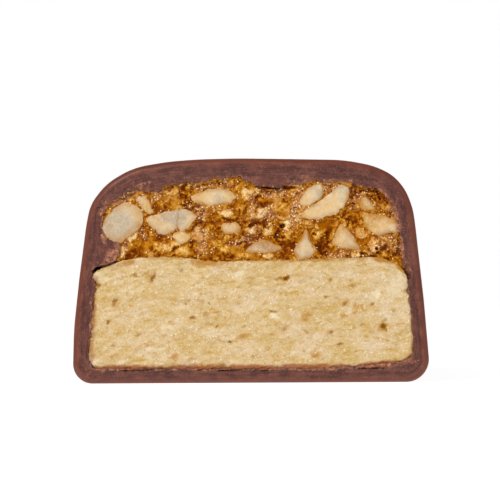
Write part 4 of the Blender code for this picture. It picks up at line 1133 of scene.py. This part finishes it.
def broken_face(flat, rows):
    """Height from 0, deep, to 1, proud, of the broken caramel, and its tone, dust, grit and crumbs."""
    seat = at_y(flat, 0.0)
    drift = np.stack([layered(seat, 0.9, 4, seed, 0.62) for seed in (SEED + 59, SEED + 60)], -1)
    bent = flat + 0.9 * drift
    bowed = flat + 0.3 * np.stack([layered(seat, 0.6, 2, seed) for seed in (SEED + 57, SEED + 58)], -1)
    inset = -line_distance(flat, smooth_line(SHELL_INSIDE, 4))
    brim = 1 - eased(0.0, 0.4, inset + 0.3 * layered(seat, 0.6, 2, SEED + 65))
    bulk = layered(at_y(bent, 0.0), 0.8, 4, SEED + 64, 0.62)
    fine = layered(seat, 0.24, 3, SEED + 68, 0.7)
    near, mark = grains(seat, 0.17, SEED + 63)
    kernel = np.clip(1 - near ** 2, 0, 1) * mark
    near, mark = grains(at_y(bent, 0.0), 0.32, SEED + 66)
    pore = (1 - eased(0.1, 0.45, near)) * (mark > 0.35)
    calm = patches(bent, POOLS, 0.2 * fine)
    sugar = patches(bent, SUGAR_FIELDS, 0.4 * fine) * (1 - 0.8 * calm)
    slit = patches(flat, SLITS, 0.05 * fine)
    hollow = np.clip(patches(bent, HOLLOWS, 0.2 * fine), 0, 1) * (1 - slit)
    lift, tint, crisp = (np.zeros(len(flat)) for _ in range(3))
    dust = sugar * (0.12 + 0.6 * kernel)
    for x, z, wide, tall, turn, proud, tone, dusty in CRISPS:
        away = ellipse_distance(bowed, x, z, wide, tall, turn) + 0.2 * fine
        mask = 1 - eased(0.75, 1.15, away)
        lift = np.maximum(lift, (0.08 + 0.30 * proud) * mask * (1 - 0.6 * np.clip(away, 0, 1) ** 2))
        tint = np.where(mask > crisp, (tone - 0.5) * mask, tint)
        dust = np.maximum(dust, 0.5 * dusty * mask)
        crisp = np.maximum(crisp, mask)
    hole = np.zeros(len(flat))
    for x, z, radius in CRISP_HOLES:
        away = np.hypot(flat[:, 0] - x, flat[:, 1] - z) / radius + 0.3 * fine
        hole = np.maximum(hole, 1 - eased(0.6, 1.3, away))
    rough = (1 - 0.85 * calm) * (1 - 0.3 * crisp)
    grit = (0.75 + 0.25 * sugar) * rough
    high = (0.60 + (0.38 * bulk + 0.14 * fine) * rough + lift - 0.14 * crisp * pore
            + 0.08 * sugar * (kernel - 0.3))
    high = high + 0.8 * brim * (BRIM_LEVEL - high) - 0.42 * hollow - 0.7 * hole
    high = high + slit * (0.3 - high)
    wide_level = softened(high.reshape(rows), 9).ravel()
    glow = layered(seat, 0.9, 3, SEED + 61)
    # Tone is partly the caramel's own colour, in its crisps, pools and sugar, and partly painted light:
    # proud places and ridges are painted lighter, hollows and the pores of crisps darker as painted shade,
    # and slits get the darkest tone as painted shade in the gap.
    tone = (0.385 + 0.35 * (high - 0.6) + 0.6 * (high - wide_level) + 1.1 * tint + 0.3 * fine * rough
            - 0.27 * hollow - 0.22 * crisp * pore + 0.36 * sugar * (kernel - 0.22) + 0.4 * calm * glow)
    tone = tone * (1 - slit)
    crumbs = (0.04 + 0.96 * sugar) * (1 - 0.8 * calm) * (1 - np.maximum(hollow, slit))
    for shape in NUTS.values():
        away = line_distance(flat, smooth_line(shape["line"], 8)[::2]) + 0.3 * bulk
        level = 1 - (shape["front"] + 0.35 * shape["bulge"] - CARAMEL_TOP) / CARAMEL_DEPTH
        near = np.exp(-(np.maximum(away, 0) / 0.2) ** 2)
        high = high + 0.85 * (level - high) * near
        high = high - NUT_SINK * eased(0.12, 0.4, -away)
        # Painted shade: the caramel right round each nut is a little darker.
        tone = tone - 0.02 * near
        crumbs = np.maximum(crumbs, 0.3 * np.exp(-((away - 0.04) / 0.2) ** 2)) * eased(-0.2, -0.06, away)
    return np.clip(high, 0, 1), tone, dust, grit, crumbs


# How many shapes of crumb there are, and how far noise moves the corners of one that is 1 in radius
CRUMB_KINDS = 3
CRUMB_BUMPS = 2.6


def crumb_tree(material):
    """Geometry Nodes: small broken crumbs strewn over the faces whose "crumbs" mark asks for them."""
    tree = bpy.data.node_groups.new("strewn_crumbs", "GeometryNodeTree")
    add = functools.partial(add_node, tree)
    for name, way, kind in (("Geometry", "INPUT", "Geometry"), ("Density", "INPUT", "Float"),
                            ("Smallest", "INPUT", "Float"), ("Largest", "INPUT", "Float"),
                            ("Seed", "INPUT", "Int"), ("Geometry", "OUTPUT", "Geometry")):
        tree.interface.new_socket(name, in_out=way, socket_type="NodeSocket" + kind)

    def drawn(data_type, low, high):
        """Random value for each crumb."""
        node = add("FunctionNodeRandomValue", data_type=data_type)
        ends = [socket for socket in node.inputs if socket.name in ("Min", "Max") and socket.enabled]
        for socket, value in zip(ends, (low, high)):
            feed(tree, socket, value)
        return next(socket for socket in node.outputs if socket.enabled)

    given = add("NodeGroupInput").outputs
    wish = add("GeometryNodeInputNamedAttribute", {"Name": "crumbs"}, data_type="FLOAT")
    amount = add("ShaderNodeMath", {0: wish.outputs["Attribute"], 1: given["Density"]}, operation="MULTIPLY")
    spots = add("GeometryNodeDistributePointsOnFaces",
                {"Mesh": given["Geometry"], "Density": amount.outputs[0], "Seed": given["Seed"]})
    place = add("GeometryNodeInputPosition").outputs[0]
    shapes = add("GeometryNodeJoinGeometry")
    for kind in range(CRUMB_KINDS):
        ball = add("GeometryNodeMeshIcoSphere", {"Radius": 1.0, "Subdivisions": 1})
        moved = add("ShaderNodeVectorMath", {0: place, 1: (3.7 * kind, 1.9, 0.0)}, operation="ADD")
        bumps = add("ShaderNodeTexNoise", {"Vector": moved.outputs[0], "Scale": 1.1, "Detail": 1.0})
        centred = add("ShaderNodeVectorMath", {0: bumps.outputs["Color"], 1: (0.5, 0.5, 0.5)},
                      operation="SUBTRACT")
        offset = add("ShaderNodeVectorMath", {0: centred.outputs[0], "Scale": CRUMB_BUMPS},
                     operation="SCALE")
        shaped = add("GeometryNodeSetPosition", {"Geometry": ball.outputs["Mesh"],
                                                 "Offset": offset.outputs[0]})
        single = add("GeometryNodeGeometryToInstance", {"Geometry": shaped.outputs[0]})
        tree.links.new(single.outputs[0], shapes.inputs[0])
    strewn = add("GeometryNodeInstanceOnPoints",
                 {"Points": spots.outputs["Points"], "Instance": shapes.outputs[0], "Pick Instance": True,
                  "Instance Index": drawn("INT", 0, CRUMB_KINDS - 1),
                  "Rotation": drawn("FLOAT_VECTOR", (0, 0, 0), (6.28, 6.28, 6.28)),
                  "Scale": drawn("FLOAT", given["Smallest"], given["Largest"])})
    marked = add("GeometryNodeStoreNamedAttribute",
                 {"Geometry": strewn.outputs[0], "Value": drawn("FLOAT", 0, 1), "Name": "tint"},
                 data_type="FLOAT", domain="INSTANCE")
    real = add("GeometryNodeRealizeInstances", {"Geometry": marked.outputs[0]})
    final = add("GeometryNodeSetMaterial", {"Geometry": real.outputs[0], "Material": material})
    add("NodeGroupOutput", {"Geometry": final.outputs[0]})
    return tree


def strew(name, ground, tree, **inputs):
    """Crumbs of their own on a piece; gives back the new piece."""
    modifier = ground.modifiers.new("strewn", "NODES")
    modifier.node_group = tree
    for item in tree.interface.items_tree:
        if item.in_out == "INPUT" and item.name in inputs:
            modifier[item.identifier] = inputs[item.name]
    bpy.context.view_layer.update()
    seen = ground.evaluated_get(bpy.context.evaluated_depsgraph_get())
    mesh = bpy.data.meshes.new_from_object(seen)
    ground.modifiers.remove(modifier)
    mesh.name = name
    return placed(name, mesh)


# ---- surroundings ----

# Half the floor's side, in metres, and how brightly it glows
FLOOR_REACH = 3.0
FLOOR_GLOW = 0.9
# Strength of the surroundings as light, and as the camera sees them
WORLD_LIGHT, WORLD_SEEN = 0.32, 1.0
# Lights: (name, place, size, power), in metres and watts
LIGHTS = [("key", (-0.16, -0.28, 0.28), 0.12, 1.0), ("fill", (0.25, -0.25, 0.12), 0.2, 0.12)]


def make_floor():
    """Plain pale floor."""
    mesh = bpy.data.meshes.new("floor")
    corners = [(FLOOR_REACH * x, FLOOR_REACH * y, 0) for x, y in ((-1, -1), (1, -1), (1, 1), (-1, 1))]
    mesh.from_pydata(corners, [], [(0, 1, 2, 3)])
    f = Finish("floor_white", Roughness=0.8, Specular_IOR_Level=0.1, Base_Color=(0.3, 0.3, 0.3, 1),
               Emission_Color=(1, 1, 1, 1), Emission_Strength=FLOOR_GLOW)
    mesh.materials.append(f.material)
    return placed("floor", mesh)


def make_world():
    """Even white surroundings, dimmer as light than as seen."""
    world = bpy.data.worlds.new("studio")
    bpy.context.scene.world = world
    world.use_nodes = True
    tree = world.node_tree
    tree.nodes["Background"].inputs["Color"].default_value = (1, 1, 1, 1)
    tree.nodes["Background"].inputs["Strength"].default_value = WORLD_LIGHT
    seen = add_node(tree, "ShaderNodeBackground", {"Color": (1, 1, 1, 1), "Strength": WORLD_SEEN})
    rays = add_node(tree, "ShaderNodeLightPath")
    blend = add_node(tree, "ShaderNodeMixShader", {0: rays.outputs["Is Camera Ray"], 2: seen.outputs[0],
                                                   1: tree.nodes["Background"].outputs[0]})
    tree.links.new(blend.outputs[0], tree.nodes["World Output"].inputs["Surface"])


def add_light(name, place, size, power, target=(0.0, 0.0, 0.010)):
    """Round soft light aimed at the bar."""
    data = bpy.data.lights.new(name, "AREA")
    data.shape = "DISK"
    data.size = size
    data.energy = power
    light = placed(name, data)
    light.location = place
    light.rotation_euler = (Vector(target) - Vector(place)).to_track_quat("-Z", "Y").to_euler()


# Camera: the photograph's frame is 500 by 500, and its middle looks at this point of the cut face
PHOTO_WIDTH_MM = 43.35
LOOK_AT = (-0.04, CUT, 11.53)
CAMERA_DISTANCE_MM = 480.0
CAMERA_RISE_DEG = 0.25
CAMERA_ROLL_DEG = 0.3
SENSOR_MM = 36.0


def make_camera():
    """Long lens, straight at the cut face."""
    data = bpy.data.cameras.new("camera")
    data.sensor_width = SENSOR_MM
    data.lens = SENSOR_MM * CAMERA_DISTANCE_MM / PHOTO_WIDTH_MM
    data.clip_start = 0.01
    data.clip_end = 10.0
    camera = placed("camera", data)
    rise = math.radians(CAMERA_RISE_DEG)
    camera.location = (LOOK_AT[0] * MM, (LOOK_AT[1] - CAMERA_DISTANCE_MM * math.cos(rise)) * MM,
                       (LOOK_AT[2] + CAMERA_DISTANCE_MM * math.sin(rise)) * MM)
    camera.rotation_euler = Euler((math.radians(90) - rise, 0, 0), "XYZ")
    camera.rotation_euler.rotate_axis("Z", math.radians(-CAMERA_ROLL_DEG))
    bpy.context.scene.camera = camera


# ---- assembly ----

coating = make_coating(chocolate_finish())
# Crumbs: how many to a square metre, and their sizes in metres
chocolate_crumbs = strew("chocolate_crumbs", coating,
                         crumb_tree(crumb_finish("chocolate_crumb", CHOCOLATE_SHADES)),
                         Density=6e7, Smallest=3e-5, Largest=8e-5, Seed=5)
for piece in (coating, chocolate_crumbs):
    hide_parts("coating")
    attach(piece, "root")

dough = make_dough(dough_finish())
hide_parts("dough")
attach(dough, "root")

caramel = make_caramel(caramel_finish())
caramel_crumbs = strew("caramel_crumbs", caramel, crumb_tree(crumb_finish("sugar_and_glint_crumb", SUGAR_AND_GLINT_SHADES)),
                       Density=4e7, Smallest=3e-5, Largest=7e-5, Seed=3)
for piece in (caramel, caramel_crumbs):
    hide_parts("caramel")
    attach(piece, "root")

nut_flesh = nut_finish()
for nut_name, nut_shape in NUTS.items():
    nut = make_nut(nut_name, nut_shape, nut_flesh)
    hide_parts(nut_name)
    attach(nut, "root")

make_floor()
make_world()
for light in LIGHTS:
    add_light(*light)
make_camera()
bpy.context.scene.view_settings.view_transform = "Standard"
